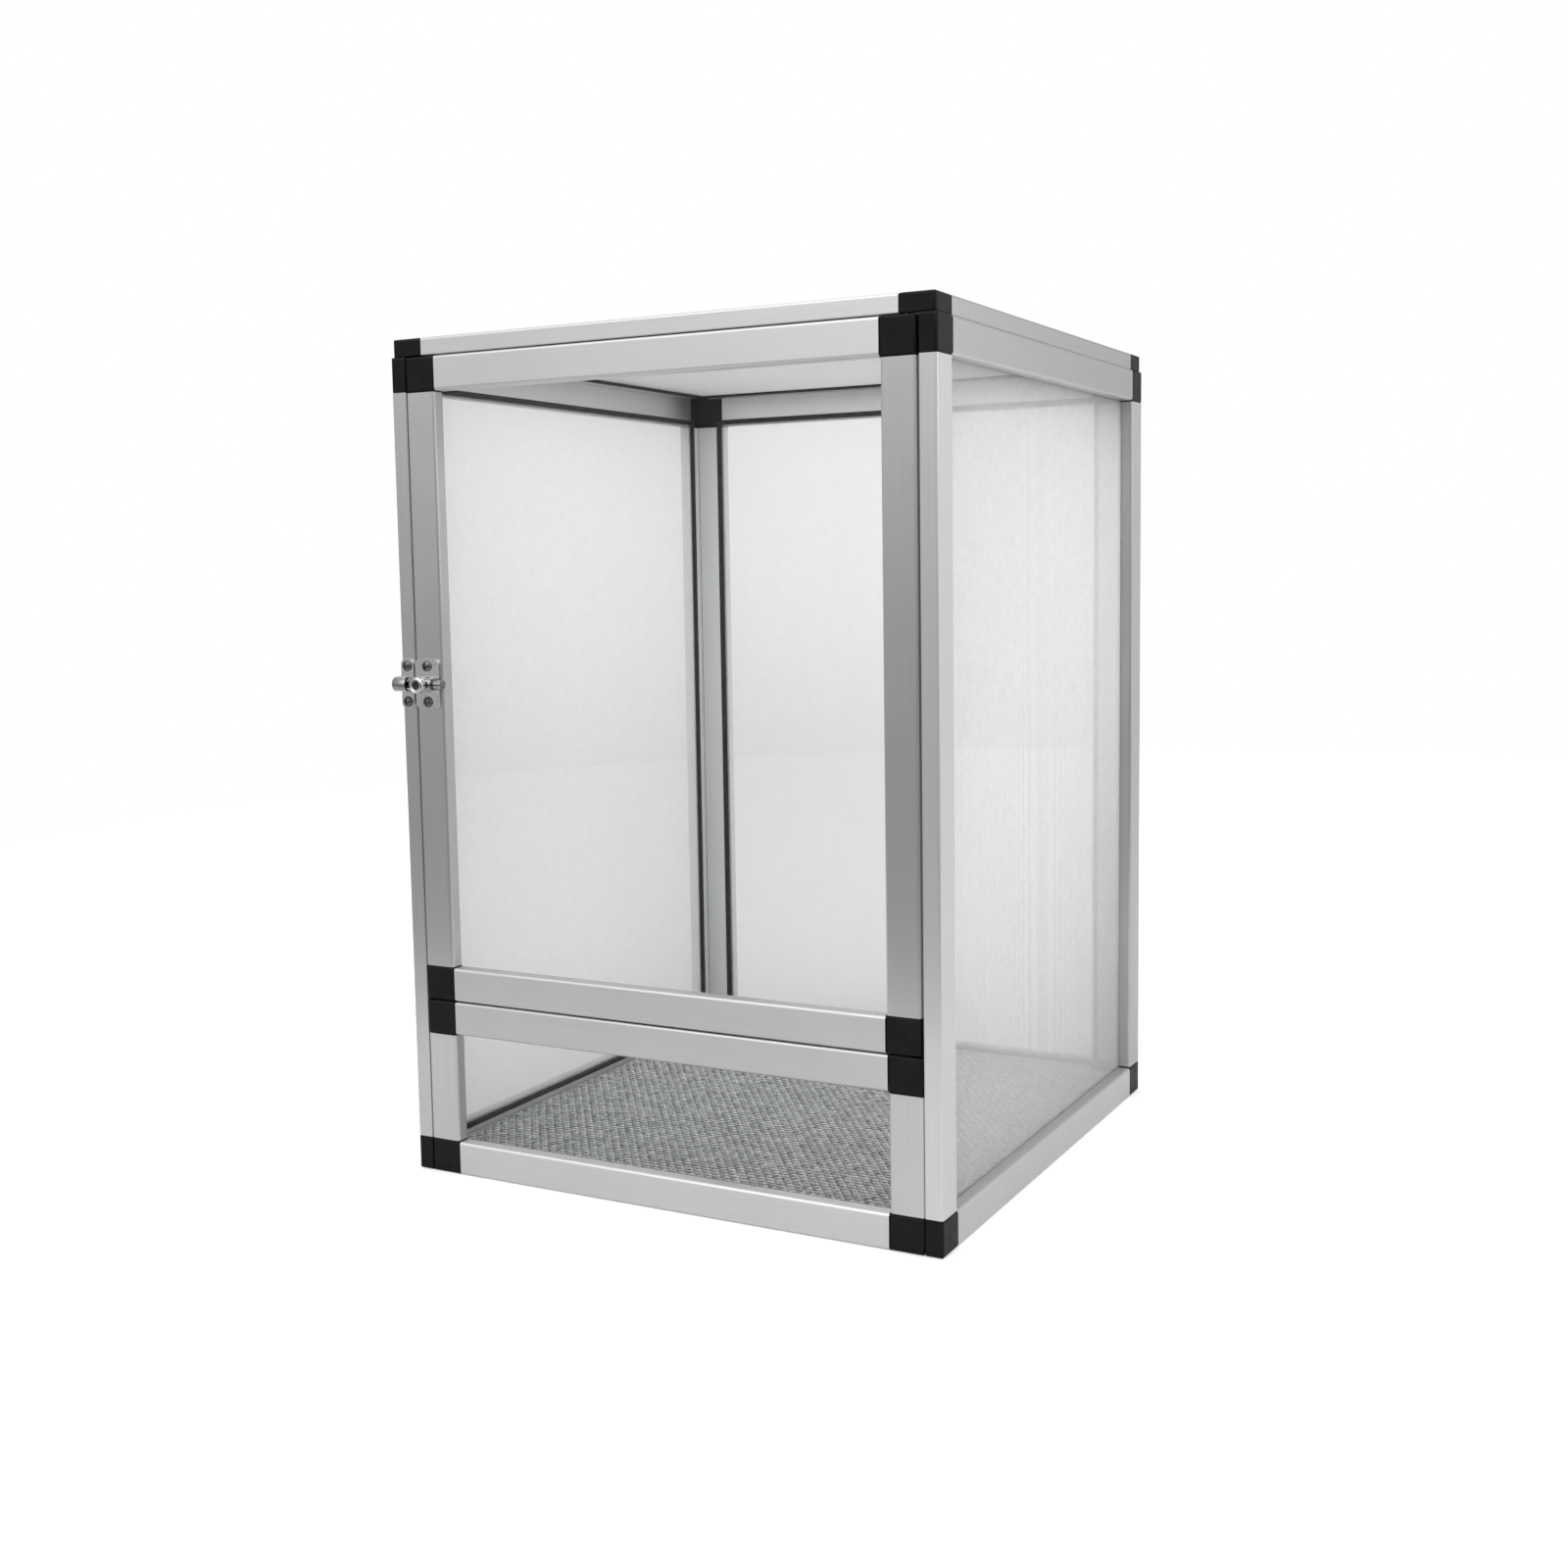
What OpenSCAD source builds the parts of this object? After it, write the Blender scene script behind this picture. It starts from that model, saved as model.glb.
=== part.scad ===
// Mesh reptile cage: screen-frame panels joined into a box, with a hinged clear door on the front.
// +X is to the right, the door faces -Y, +Z is up. The origin is on the ground, in the middle of the cage.

/* [Cage] */
// Outside width of the cage, left to right
cage_w = 320; // [240:1:480]
// Outside depth of the cage, front to back
cage_d = 320; // [240:1:480]
// Outside height of the cage
cage_h = 460; // [320:1:700]
// Height of the fixed panel under the door
lower_front_h = 98; // [70:1:140]
// How far the top frame stands back from the outer faces of the walls
top_inset = 1; // [0:0.1:1.5]
// Seam left between neighbouring fixed panels
seam = 0.3; // [0.1:0.1:0.6]

/* [Frame profile] */
// Width of the aluminium profile on the face of a panel
profile_w = 18.5; // [17.5:0.5:24]
// Thickness of the profile, which is the thickness of a panel
profile_t = 9.5; // [9:0.5:12]
// Wall of the extrusion
profile_wall = 1; // [0.8:0.1:1.2]
// Rounding of the long outer edge of the profile
edge_r = 1.5; // [1.2:0.1:2]
// Rounding of the outer face where it ends at the lip
lip_edge_r = 1.8; // [1:0.1:2]
// Rounding of the outer edge of the inner face
soft_edge_r = 0.6; // [0.3:0.1:0.9]
// Width of the lip that carries the mesh or the pane
lip_w = 1.8; // [1.8:0.1:2.8]
// How far the lip lies below the inner face
lip_drop = 2.3; // [2:0.1:2.8]
// Width of the groove that the spline is pressed into
groove_w = 2.4; // [2.4:0.1:3.4]
// Depth of that groove
groove_depth = 5.5; // [4.8:0.1:5.9]

/* [Corner blocks] */
// How much wider a corner block is than the profile
block_proud = 0.5; // [0.1:0.1:1.5]
// Length of the legs that plug into the profile
leg_len = 22; // [12:1:28]
// Length of the stepped lead-in at the end of a leg, and its step
leg_lead = 1.4; // [0.5:0.1:2]
// Rounding of the corner that shows
block_corner_r = 1.6; // [0.8:0.1:3]
// Gap between a plugged or inserted piece and its hole
fit = 0.1; // [0.05:0.05:0.2]

/* [Sheets] */
// Thickness of the screen mesh on the sides, back and top
mesh_t = 0.6; // [0.4:0.1:0.8]
// Width of a strand of the screen mesh
mesh_strand = 0.9; // [0.5:0.1:1.6]
// Pitch at which the strands of the screen mesh are drawn
mesh_pitch = 20; // [18:1:40]
// Thickness of the wire mesh on the floor
floor_mesh_t = 1.2; // [0.6:0.1:1.4]
// Width of a strand of the floor mesh
floor_strand = 1.4; // [0.8:0.1:2]
// Pitch at which the strands of the floor mesh are drawn
floor_pitch = 17.5; // [15:0.5:40]
// Thickness of the clear panes
pane_t = 1.5; // [1:0.1:1.8]
// How far the spline reaches over the edge of the sheet that it holds
spline_flap = 0.6; // [0.5:0.1:1.5]

/* [Door] */
// Gap that the turning edge of the door leaves to the post
hinge_clear = 0.35; // [0.2:0.05:0.8]
// Gap between the latched edge of the door and its post
latch_gap = 0.4; // [0.3:0.1:1]
// Gap above and below the door
door_end_gap = 0.6; // [0.5:0.1:1.5]
// Distance of the hinge axis from the right edge of the door
hinge_inset = 6.5; // [5.5:0.1:7]
// Diameter of the hinge pins
hinge_pin_d = 3; // [2.4:0.1:3.4]
// How far a hinge pin reaches into each block
hinge_pin_reach = 7; // [4:0.5:8]
// Running clearance of the hinge pins in the door, on the radius
hinge_play = 0.05; // [0.02:0.01:0.1]
// Diameter of the washer under the door
washer_d = 8; // [6:0.5:9]

/* [Latch] */
// Height of the plates of the latch
latch_h = 27; // [24:0.5:34]
// Thickness of the plates of the latch
latch_plate_t = 1.2; // [0.8:0.1:2]
// Rounding of the corners of the plates
plate_corner_r = 3; // [1:0.1:4]
// Width of the latch body on the door
latch_body_w = 16; // [14:0.5:17]
// Distance of the latch body from the edge of the door
body_setback = 0.5; // [0.2:0.1:1.2]
// Distance of the keeper from the edges of the post
keeper_margin = 0.5; // [0.2:0.1:1]
// Outside diameter of the barrels that the bolt runs in
barrel_d = 8; // [7:0.2:10]
// Height of the bolt's axis above the front of the cage
bolt_axis = 5.5; // [5.4:0.1:8]
// Diameter of the bolt
bolt_d = 5; // [4:0.1:5.4]
// Length of the bolt
bolt_len = 22; // [19:0.5:26]
// Distance of the drawn bolt's nose from the edge of the door
bolt_setback = 0.3; // [0.1:0.1:1]
// Length of the bevel on the bolt's nose
bolt_nose = 0.8; // [0.3:0.1:1.4]
// How far the bolt slides
bolt_throw = 5; // [3.5:0.1:7]
// Running clearance of the bolt in the barrel of the body, on the radius
bolt_play = 0.05; // [0.02:0.01:0.1]
// Clearance of the bolt in the keeper, on the radius
keeper_play = 0.5; // [0.2:0.1:0.6]
// Thickness of the closed end of the keeper
keeper_cap = 1.2; // [0.8:0.1:2]
// Diameter of the knob
knob_d = 9; // [8:0.5:12]
// Length of the knob's head
knob_len = 4.5; // [3:0.1:6]
// Rounding of the knob's rims
knob_rim_r = 1.5; // [0.5:0.1:1.5]
// Depth of the dish in the knob's face
knob_dish = 0.8; // [0.2:0.1:1]
// Radius of the dish
knob_dish_r = 10; // [8:0.5:20]
// Gap between the knob's head and the barrel
knob_clear = 0.7; // [0.3:0.1:1.5]
// Diameter of the knob's stem
knob_stem_d = 3; // [2.4:0.1:3.2]
// Clearance of the stem in the slot, on each side
slot_play = 0.25; // [0.1:0.05:0.5]
// Distance of the knob's axis from the edge of the door when the bolt is thrown
knob_setback = 5.8; // [0.7:0.1:6.5]
// Distance of each screw from the bolt's axis
screw_offset = 9.8; // [8.8:0.1:11]
// Diameter of a screw head
screw_head_d = 6; // [5:0.1:6.6]
// Height of a screw head
screw_head_h = 2.2; // [1.4:0.1:3]
// Height of the straight rim of a screw head
screw_rim_h = 0.5; // [0.3:0.1:0.9]
// Diameter of a screw shank
screw_d = 2.8; // [2.2:0.1:3]
// Length of a screw under its head
screw_len = 7; // [5:0.5:8]

/* [Joining pins] */
// Diameter of the pins that join neighbouring panels
join_d = 3; // [2:0.1:4]
// Length of those pins
join_len = 10; // [8:0.5:11]

/* [Hidden] */
$fn = 48;
eps = 0.01;

groove_outer = profile_w - lip_w - groove_w;
groove_inner = profile_w - lip_w;
cavity_w = groove_outer - 2 * profile_wall;
cavity_t = profile_t - 2 * profile_wall;
lower_cavity_w = profile_w - profile_wall - groove_outer;
lower_cavity_t = profile_t - groove_depth - 2 * profile_wall;
leg_w = cavity_w - 2 * fit;
leg_t = cavity_t - 2 * fit;
leg_root = profile_wall;
block = profile_w + block_proud;

wall_h = cage_h - profile_t;
inside_w = cage_w - 2 * profile_t;
inside_d = cage_d - 2 * profile_t;
floor_edge_gap = floor_mesh_t + seam;
// The door's front edge swings past the post on this radius.
hinge_sweep = norm([hinge_inset - edge_r, profile_t / 2 - edge_r]) + edge_r;
door_gap = hinge_sweep - hinge_inset + hinge_clear;
door_h = wall_h - lower_front_h - 2 * door_end_gap;
door_z = lower_front_h + door_end_gap + door_h / 2;

side_size = [cage_d, wall_h];
rear_size = [inside_w - 2 * seam, wall_h];
top_size = [cage_w - 2 * top_inset, cage_d - 2 * top_inset];
floor_size = [inside_w - 2 * floor_edge_gap, inside_d - 2 * floor_edge_gap];
lower_front_size = [inside_w - 2 * seam, lower_front_h];
door_size = [inside_w - door_gap - latch_gap, door_h];
door_shift = (latch_gap - door_gap) / 2;

hinge_x = door_shift + door_size[0] / 2 - hinge_inset;
hinge_y = -cage_d / 2 + profile_t / 2;

keeper_w = profile_t - 2 * keeper_margin;
keeper_x = -latch_gap - profile_t / 2;
body_x = body_setback + latch_body_w / 2;
knob_rest_x = bolt_throw + knob_setback;
knob_lift = barrel_d / 2 + knob_clear;
slot_w = knob_stem_d + 2 * slot_play;

aluminium = "#c4c6c8";
black_plastic = "#222224";
screen_grey = "#d8dad8";
wire_grey = "#8f9492";
clear = [0.88, 0.94, 0.95, 0.3];
rubber_black = "#161616";
polished_steel = "#b9bcc0";

// Places of the panels. In a panel's own frame x and y lie in its face, z = 0 is its inner face
// and z = profile_t is its outer face, so each panel is drawn as it is seen from outside.

module on_front(mid_z) {
    translate([0, -cage_d / 2 + profile_t, mid_z]) rotate([90, 0, 0]) children();
}

module on_rear() {
    translate([0, cage_d / 2 - profile_t, wall_h / 2]) rotate([90, 0, 180]) children();
}

module on_right() {
    translate([cage_w / 2 - profile_t, 0, wall_h / 2]) rotate([90, 0, 90]) children();
}

module on_left() {
    translate([-cage_w / 2 + profile_t, 0, wall_h / 2]) rotate([90, 0, -90]) children();
}

module on_top() {
    translate([0, 0, cage_h - profile_t]) children();
}

// The floor panel lies with its groove down, raised by the mesh that is wrapped round it.
module on_floor() {
    translate([0, 0, floor_mesh_t]) children();
}

// The door stands nearer to the post on its latched side.
module on_door() {
    translate([door_shift, 0, 0]) on_front(door_z) children();
}

// The latch's own frame: x = 0 at the left edge of the door, z = 0 at the front of the cage.
module on_latch() {
    translate([door_shift - door_size[0] / 2, -cage_d / 2, door_z]) rotate([90, 0, 0]) children();
}

// The sliver that rounds off a square corner at the origin.
module corner_cut(r) {
    difference() {
        translate([-eps, -eps]) square(r + eps);
        translate([r, r]) circle(r);
    }
}

// Outer shape of the profile: u runs from its outer edge inwards, v from the inner to the outer face.
module profile_outline(w) {
    difference() {
        square([w, profile_t]);
        translate([0, profile_t]) mirror([0, 1]) corner_cut(edge_r);
        corner_cut(soft_edge_r);
        translate([w, profile_t]) rotate(180) corner_cut(lip_edge_r);
    }
}

// Hollow screen-frame profile with a main tube, a spline groove and a lip for the sheet.
module profile_section() {
    difference() {
        profile_outline(profile_w);
        translate([profile_wall, profile_wall]) square([cavity_w, cavity_t]);
        translate([groove_outer, groove_depth + profile_wall]) square([lower_cavity_w, lower_cavity_t]);
        translate([groove_outer, -eps]) square([groove_w, groove_depth + eps]);
        translate([groove_outer, -eps]) square([profile_w, lip_drop + eps]);
    }
}

// Quarter turns from the bottom of a panel to one of its sides, seen from outside.
function turns_to(side) = side == "bottom" ? 0 : side == "right" ? 1 : side == "upper" ? 2 : 3;

// One length of profile on one side of a panel, between two corner blocks.
module rail(size, side) {
    turns = turns_to(side);
    along = turns % 2;
    run = size[along] - 2 * block;
    edge = size[1 - along] / 2;
    rotate(90 * turns) translate([-run / 2, -edge, 0]) rotate([90, 0, 90])
        linear_extrude(run) profile_section();
}

// Moulded corner block with two legs, its corner at the origin.
module corner_block() {
    difference() {
        union() {
            intersection() {
                linear_extrude(profile_t) difference() {
                    square(block);
                    corner_cut(block_corner_r);
                }
                rotate([90, 0, 90]) linear_extrude(block) profile_outline(block);
                mirror([1, -1, 0]) rotate([90, 0, 90]) linear_extrude(block) profile_outline(block);
            }
            corner_leg();
            mirror([1, -1, 0]) corner_leg();
        }
        translate([groove_outer, groove_outer, -eps]) cube([block, groove_w, groove_depth + eps]);
        translate([groove_outer, groove_outer, -eps]) cube([groove_w, block, groove_depth + eps]);
        translate([groove_inner - eps, groove_inner - eps, -eps]) cube([block, block, lip_drop + eps]);
    }
}

// Leg that fills the main tube of a rail, with a stepped lead-in at its end.
module corner_leg() {
    reach = leg_len + leg_root;
    tip_w = leg_w - 2 * leg_lead;
    tip_t = leg_t - 2 * leg_lead;
    translate([block - leg_root, profile_wall + fit, profile_wall + fit]) rotate([90, 0, 90]) union() {
        linear_extrude(reach - leg_lead) square([leg_w, leg_t]);
        linear_extrude(reach) translate([leg_lead, leg_lead]) square([tip_w, tip_t]);
    }
}

// The four corner blocks of a panel.
module corner_set(size) {
    for (turn = [0 : 3]) {
        across = turn % 2;
        rotate(90 * turn) translate([-size[across] / 2, -size[1 - across] / 2, 0]) corner_block();
    }
}

// Rectangular ring round a panel: from depth_a to depth_b in from its edge, from z0 to z1.
module panel_ring(size, depth_a, depth_b, z0, z1) {
    translate([0, 0, z0]) linear_extrude(z1 - z0) difference() {
        square([size[0] - 2 * depth_a, size[1] - 2 * depth_a], center = true);
        square([size[0] - 2 * depth_b, size[1] - 2 * depth_b], center = true);
    }
}

// Flat net with a plain border, its edge at depth in from the panel's edge.
module net(size, depth, border, pitch, strand, thick) {
    open_w = size[0] - 2 * border;
    open_h = size[1] - 2 * border;
    columns = floor(open_w / pitch);
    rows = floor(open_h / pitch);
    step_x = open_w / columns;
    step_y = open_h / rows;
    linear_extrude(thick) difference() {
        square([size[0] - 2 * depth, size[1] - 2 * depth], center = true);
        for (column = [0 : columns - 1], row = [0 : rows - 1]) {
            translate([(column + 0.5) * step_x - open_w / 2, (row + 0.5) * step_y - open_h / 2])
                square([step_x - strand, step_y - strand], center = true);
        }
    }
}

// Screen mesh laid on the lips of a panel, its hem turned down into the groove.
module screen_mesh(size) {
    translate([0, 0, lip_drop - mesh_t])
        net(size, groove_inner - mesh_t, block, mesh_pitch, mesh_strand, mesh_t);
    panel_ring(size, groove_inner - mesh_t, groove_inner, lip_drop - mesh_t, groove_depth - fit);
}

// Clear pane laid on the lips of a panel.
module clear_pane(size) {
    edge = groove_inner + fit;
    translate([0, 0, lip_drop - pane_t]) linear_extrude(pane_t)
        square([size[0] - 2 * edge, size[1] - 2 * edge], center = true);
}

// Rubber spline pressed into the groove, with a flap over the edge of the sheet.
module spline(size, sheet_t, hem_t) {
    stem_a = groove_outer + fit;
    panel_ring(size, stem_a, groove_inner - hem_t - fit, 0, groove_depth - fit);
    panel_ring(size, stem_a, groove_inner + spline_flap, 0, lip_drop - sheet_t);
}

// Left side panel

module left_side_bottom_rail() {
    color(aluminium) on_left() rail(side_size, "bottom");
}

module left_side_top_rail() {
    color(aluminium) on_left() rail(side_size, "upper");
}

module left_side_front_stile() {
    color(aluminium) difference() {
        on_left() rail(side_size, "right");
        joining_set(fit);
        on_latch() keeper_screw_set(fit);
    }
}

module left_side_rear_stile() {
    color(aluminium) on_left() rail(side_size, "left");
}

module left_side_corners() {
    color(black_plastic) difference() {
        on_left() corner_set(side_size);
        joining_set(fit);
    }
}

module left_side_mesh() {
    color(screen_grey) on_left() screen_mesh(side_size);
}

module left_side_spline() {
    color(rubber_black) on_left() spline(side_size, mesh_t, mesh_t);
}

// Right side panel

module right_side_bottom_rail() {
    color(aluminium) on_right() rail(side_size, "bottom");
}

module right_side_top_rail() {
    color(aluminium) on_right() rail(side_size, "upper");
}

module right_side_front_stile() {
    color(aluminium) difference() {
        on_right() rail(side_size, "left");
        joining_set(fit);
    }
}

module right_side_rear_stile() {
    color(aluminium) on_right() rail(side_size, "right");
}

module right_side_corners() {
    color(black_plastic) difference() {
        on_right() corner_set(side_size);
        joining_set(fit);
    }
}

module right_side_mesh() {
    color(screen_grey) on_right() screen_mesh(side_size);
}

module right_side_spline() {
    color(rubber_black) on_right() spline(side_size, mesh_t, mesh_t);
}

// Rear panel

module rear_bottom_rail() {
    color(aluminium) on_rear() rail(rear_size, "bottom");
}

module rear_top_rail() {
    color(aluminium) on_rear() rail(rear_size, "upper");
}

module rear_left_stile() {
    color(aluminium) on_rear() rail(rear_size, "right");
}

module rear_right_stile() {
    color(aluminium) on_rear() rail(rear_size, "left");
}

module rear_corners() {
    color(black_plastic) difference() {
        on_rear() corner_set(rear_size);
        joining_set(fit);
    }
}

module rear_mesh() {
    color(screen_grey) on_rear() screen_mesh(rear_size);
}

module rear_spline() {
    color(rubber_black) on_rear() spline(rear_size, mesh_t, mesh_t);
}

// Top panel

module top_front_rail() {
    color(aluminium) on_top() rail(top_size, "bottom");
}

module top_rear_rail() {
    color(aluminium) on_top() rail(top_size, "upper");
}

module top_left_rail() {
    color(aluminium) on_top() rail(top_size, "left");
}

module top_right_rail() {
    color(aluminium) on_top() rail(top_size, "right");
}

module top_corners() {
    color(black_plastic) difference() {
        on_top() corner_set(top_size);
        joining_set(fit);
        hinge_axis() upper_hinge_pin();
    }
}

module top_mesh() {
    color(screen_grey) on_top() screen_mesh(top_size);
}

module top_spline() {
    color(rubber_black) on_top() spline(top_size, mesh_t, mesh_t);
}

// Floor panel

module floor_front_rail() {
    color(aluminium) on_floor() rail(floor_size, "bottom");
}

module floor_rear_rail() {
    color(aluminium) on_floor() rail(floor_size, "upper");
}

module floor_left_rail() {
    color(aluminium) on_floor() rail(floor_size, "left");
}

module floor_right_rail() {
    color(aluminium) on_floor() rail(floor_size, "right");
}

module floor_corners() {
    color(black_plastic) difference() {
        on_floor() corner_set(floor_size);
        joining_set(fit);
    }
}

// Wire mesh over the top of the floor frame, wrapped round its outer edge and up into the groove below.
module floor_mesh() {
    turn_in = groove_outer + floor_mesh_t;
    color(wire_grey) difference() {
        on_floor() {
            translate([0, 0, profile_t])
                net(floor_size, -floor_mesh_t, profile_wall, floor_pitch, floor_strand, floor_mesh_t);
            panel_ring(floor_size, -floor_mesh_t, 0, -floor_mesh_t, profile_t + floor_mesh_t);
            panel_ring(floor_size, -floor_mesh_t, turn_in, -floor_mesh_t, 0);
            panel_ring(floor_size, groove_outer, turn_in, -floor_mesh_t, groove_depth - fit);
        }
        joining_set(fit);
    }
}

module floor_spline() {
    stem_a = groove_outer + floor_mesh_t + fit;
    color(rubber_black) on_floor()
        panel_ring(floor_size, stem_a, groove_inner - fit, -floor_mesh_t, groove_depth - fit);
}

// Fixed lower front panel

module lower_front_bottom_rail() {
    color(aluminium) on_front(lower_front_h / 2) rail(lower_front_size, "bottom");
}

module lower_front_top_rail() {
    color(aluminium) on_front(lower_front_h / 2) rail(lower_front_size, "upper");
}

module lower_front_left_stile() {
    color(aluminium) on_front(lower_front_h / 2) rail(lower_front_size, "left");
}

module lower_front_right_stile() {
    color(aluminium) on_front(lower_front_h / 2) rail(lower_front_size, "right");
}

module lower_front_corners() {
    color(black_plastic) difference() {
        on_front(lower_front_h / 2) corner_set(lower_front_size);
        joining_set(fit);
        hinge_axis() lower_hinge_pin();
    }
}

module lower_front_pane() {
    color(clear) on_front(lower_front_h / 2) clear_pane(lower_front_size);
}

module lower_front_spline() {
    color(rubber_black) on_front(lower_front_h / 2) spline(lower_front_size, pane_t, 0);
}

// Door

module door_bottom_rail() {
    color(aluminium) on_door() rail(door_size, "bottom");
}

module door_top_rail() {
    color(aluminium) on_door() rail(door_size, "upper");
}

module door_left_stile() {
    color(aluminium) difference() {
        on_door() rail(door_size, "left");
        on_latch() body_screw_set(fit);
    }
}

module door_right_stile() {
    color(aluminium) on_door() rail(door_size, "right");
}

module door_corners() {
    color(black_plastic) difference() {
        on_door() corner_set(door_size);
        hinge_axis() upper_hinge_pin(hinge_play);
        hinge_axis() lower_hinge_pin(hinge_play);
    }
}

module door_pane() {
    color(clear) on_door() clear_pane(door_size);
}

module door_spline() {
    color(rubber_black) on_door() spline(door_size, pane_t, 0);
}

// Pins that join the panels

// A pin along X at the place where a panel meets the left and the right side panel.
module side_pins(y, z, grow) {
    for (hand = [-1, 1]) {
        translate([hand * inside_w / 2, y, z]) rotate([0, 90, 0])
            cylinder(d = join_d + 2 * grow, h = join_len + 2 * grow, center = true);
    }
}

// All the joining pins, or their holes when they are grown by the fit.
module joining_set(grow = 0) {
    mid_t = cage_d / 2 - profile_t / 2;
    floor_y = (cage_d / 2 - block + floor_size[1] / 2) / 2;
    for (y = [-1, 1], x = [-1, 1]) {
        translate([x * (cage_w / 2 - profile_t / 2), y * (cage_d / 2 - block / 2), wall_h])
            cylinder(d = join_d + 2 * grow, h = join_len + 2 * grow, center = true);
    }
    for (z = [block / 2, wall_h - block / 2]) {
        side_pins(mid_t, z, grow);
    }
    for (z = [block / 2, lower_front_h - block / 2]) {
        side_pins(-mid_t, z, grow);
    }
    for (y = [-floor_y, floor_y]) {
        side_pins(y, floor_mesh_t + profile_t / 2, grow);
    }
}

module joining_pins() {
    color(polished_steel) joining_set();
}

// Door hinge

module hinge_axis() {
    translate([hinge_x, hinge_y, 0]) children();
}

module upper_hinge_pin(grow = 0) {
    translate([0, 0, wall_h - door_end_gap - hinge_pin_reach - grow])
        cylinder(d = hinge_pin_d + 2 * grow, h = 2 * hinge_pin_reach + door_end_gap + grow);
}

module lower_hinge_pin(grow = 0) {
    translate([0, 0, lower_front_h - hinge_pin_reach])
        cylinder(d = hinge_pin_d + 2 * grow, h = 2 * hinge_pin_reach + door_end_gap + grow);
}

module hinge_pins() {
    color(polished_steel) hinge_axis() {
        upper_hinge_pin();
        lower_hinge_pin();
    }
}

module hinge_washer() {
    color(black_plastic) hinge_axis() translate([0, 0, lower_front_h]) difference() {
        cylinder(d = washer_d, h = door_end_gap);
        translate([0, 0, -eps]) cylinder(d = hinge_pin_d + 2 * hinge_play, h = door_end_gap + 2 * eps);
    }
}

// Latch

// Flat plate with rounded corners, centred at x.
module latch_plate(x, w) {
    translate([x - w / 2, -latch_h / 2, 0]) linear_extrude(latch_plate_t) difference() {
        square([w, latch_h]);
        corner_cut(plate_corner_r);
        translate([w, 0]) mirror([1, 0]) corner_cut(plate_corner_r);
        translate([0, latch_h]) mirror([0, 1]) corner_cut(plate_corner_r);
        translate([w, latch_h]) rotate(180) corner_cut(plate_corner_r);
    }
}

// Rod along x at the height of the bolt's axis.
module along_bolt(from_x, length, d) {
    translate([from_x, 0, bolt_axis]) rotate([0, 90, 0]) cylinder(d = d, h = length);
}

// Barrel on its web, from from_x over length.
module barrel(from_x, length) {
    along_bolt(from_x, length, barrel_d);
    translate([from_x, -barrel_d / 2, 0]) cube([length, barrel_d, bolt_axis]);
}

// A pan-head screw with its head on the plate, and its shank grown for a hole.
module screw(grow = 0) {
    translate([0, 0, latch_plate_t - screw_len - grow])
        cylinder(d = screw_d + 2 * grow, h = screw_len + grow);
    if (grow == 0) {
        translate([0, 0, latch_plate_t]) screw_head();
    }
}

// Domed head, cut from a sphere that passes through its rim.
module screw_head() {
    dome_h = screw_head_h - screw_rim_h;
    dome_r = (pow(screw_head_d / 2, 2) + pow(dome_h, 2)) / (2 * dome_h);
    intersection() {
        cylinder(d = screw_head_d, h = screw_head_h + eps);
        translate([0, 0, screw_head_h - dome_r]) sphere(dome_r);
    }
}

module screw_pair(x, grow = 0) {
    for (hand = [-1, 1]) {
        translate([x, hand * screw_offset, 0]) screw(grow);
    }
}

module body_screw_set(grow = 0) {
    screw_pair(body_x, grow);
}

module keeper_screw_set(grow = 0) {
    screw_pair(keeper_x, grow);
}

// Body on the door: a plate with a slotted barrel that guides the bolt.
module latch_body() {
    color(polished_steel) on_latch() difference() {
        union() {
            latch_plate(body_x, latch_body_w);
            barrel(body_setback, latch_body_w);
        }
        along_bolt(body_setback - eps, latch_body_w + 2 * eps, bolt_d + 2 * bolt_play);
        translate([0, -slot_w / 2, bolt_axis]) cube([knob_rest_x, slot_w, barrel_d]);
        translate([knob_rest_x, 0, bolt_axis]) cylinder(d = slot_w, h = barrel_d);
        screw_plate_holes(body_x);
    }
}

module screw_plate_holes(x) {
    for (hand = [-1, 1]) {
        translate([x, hand * screw_offset, -eps])
            cylinder(d = screw_d + 2 * fit, h = latch_plate_t + 2 * eps);
    }
}

module latch_body_screws() {
    color(polished_steel) on_latch() body_screw_set();
}

// Keeper on the post: a plate with a barrel that is closed at its far end.
module latch_keeper() {
    edge = keeper_x - keeper_w / 2;
    socket_d = bolt_d + 2 * keeper_play;
    color(polished_steel) on_latch() difference() {
        union() {
            latch_plate(keeper_x, keeper_w);
            barrel(edge, keeper_w);
        }
        along_bolt(edge + keeper_cap, keeper_w - keeper_cap + eps, socket_d);
        screw_plate_holes(keeper_x);
    }
}

module latch_keeper_screws() {
    color(polished_steel) on_latch() keeper_screw_set();
}

// Sliding bolt with a cross hole for the knob.
module latch_bolt() {
    color(polished_steel) on_latch() difference() {
        union() {
            along_bolt(bolt_setback + bolt_nose, bolt_len - bolt_nose, bolt_d);
            translate([bolt_setback, 0, bolt_axis]) rotate([0, 90, 0])
                cylinder(d1 = bolt_d - 2 * bolt_nose, d2 = bolt_d, h = bolt_nose);
        }
        translate([knob_rest_x, 0, bolt_axis]) cylinder(d = knob_stem_d + 2 * bolt_play, h = bolt_d);
    }
}

// Dished knob on a stem that is screwed into the bolt.
module latch_knob() {
    color(polished_steel) on_latch() translate([knob_rest_x, 0, bolt_axis]) {
        cylinder(d = knob_stem_d, h = knob_lift + eps);
        translate([0, 0, knob_lift]) difference() {
            rotate_extrude() knob_outline();
            translate([0, 0, knob_len + knob_dish_r - knob_dish]) sphere(knob_dish_r);
        }
    }
}

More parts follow.
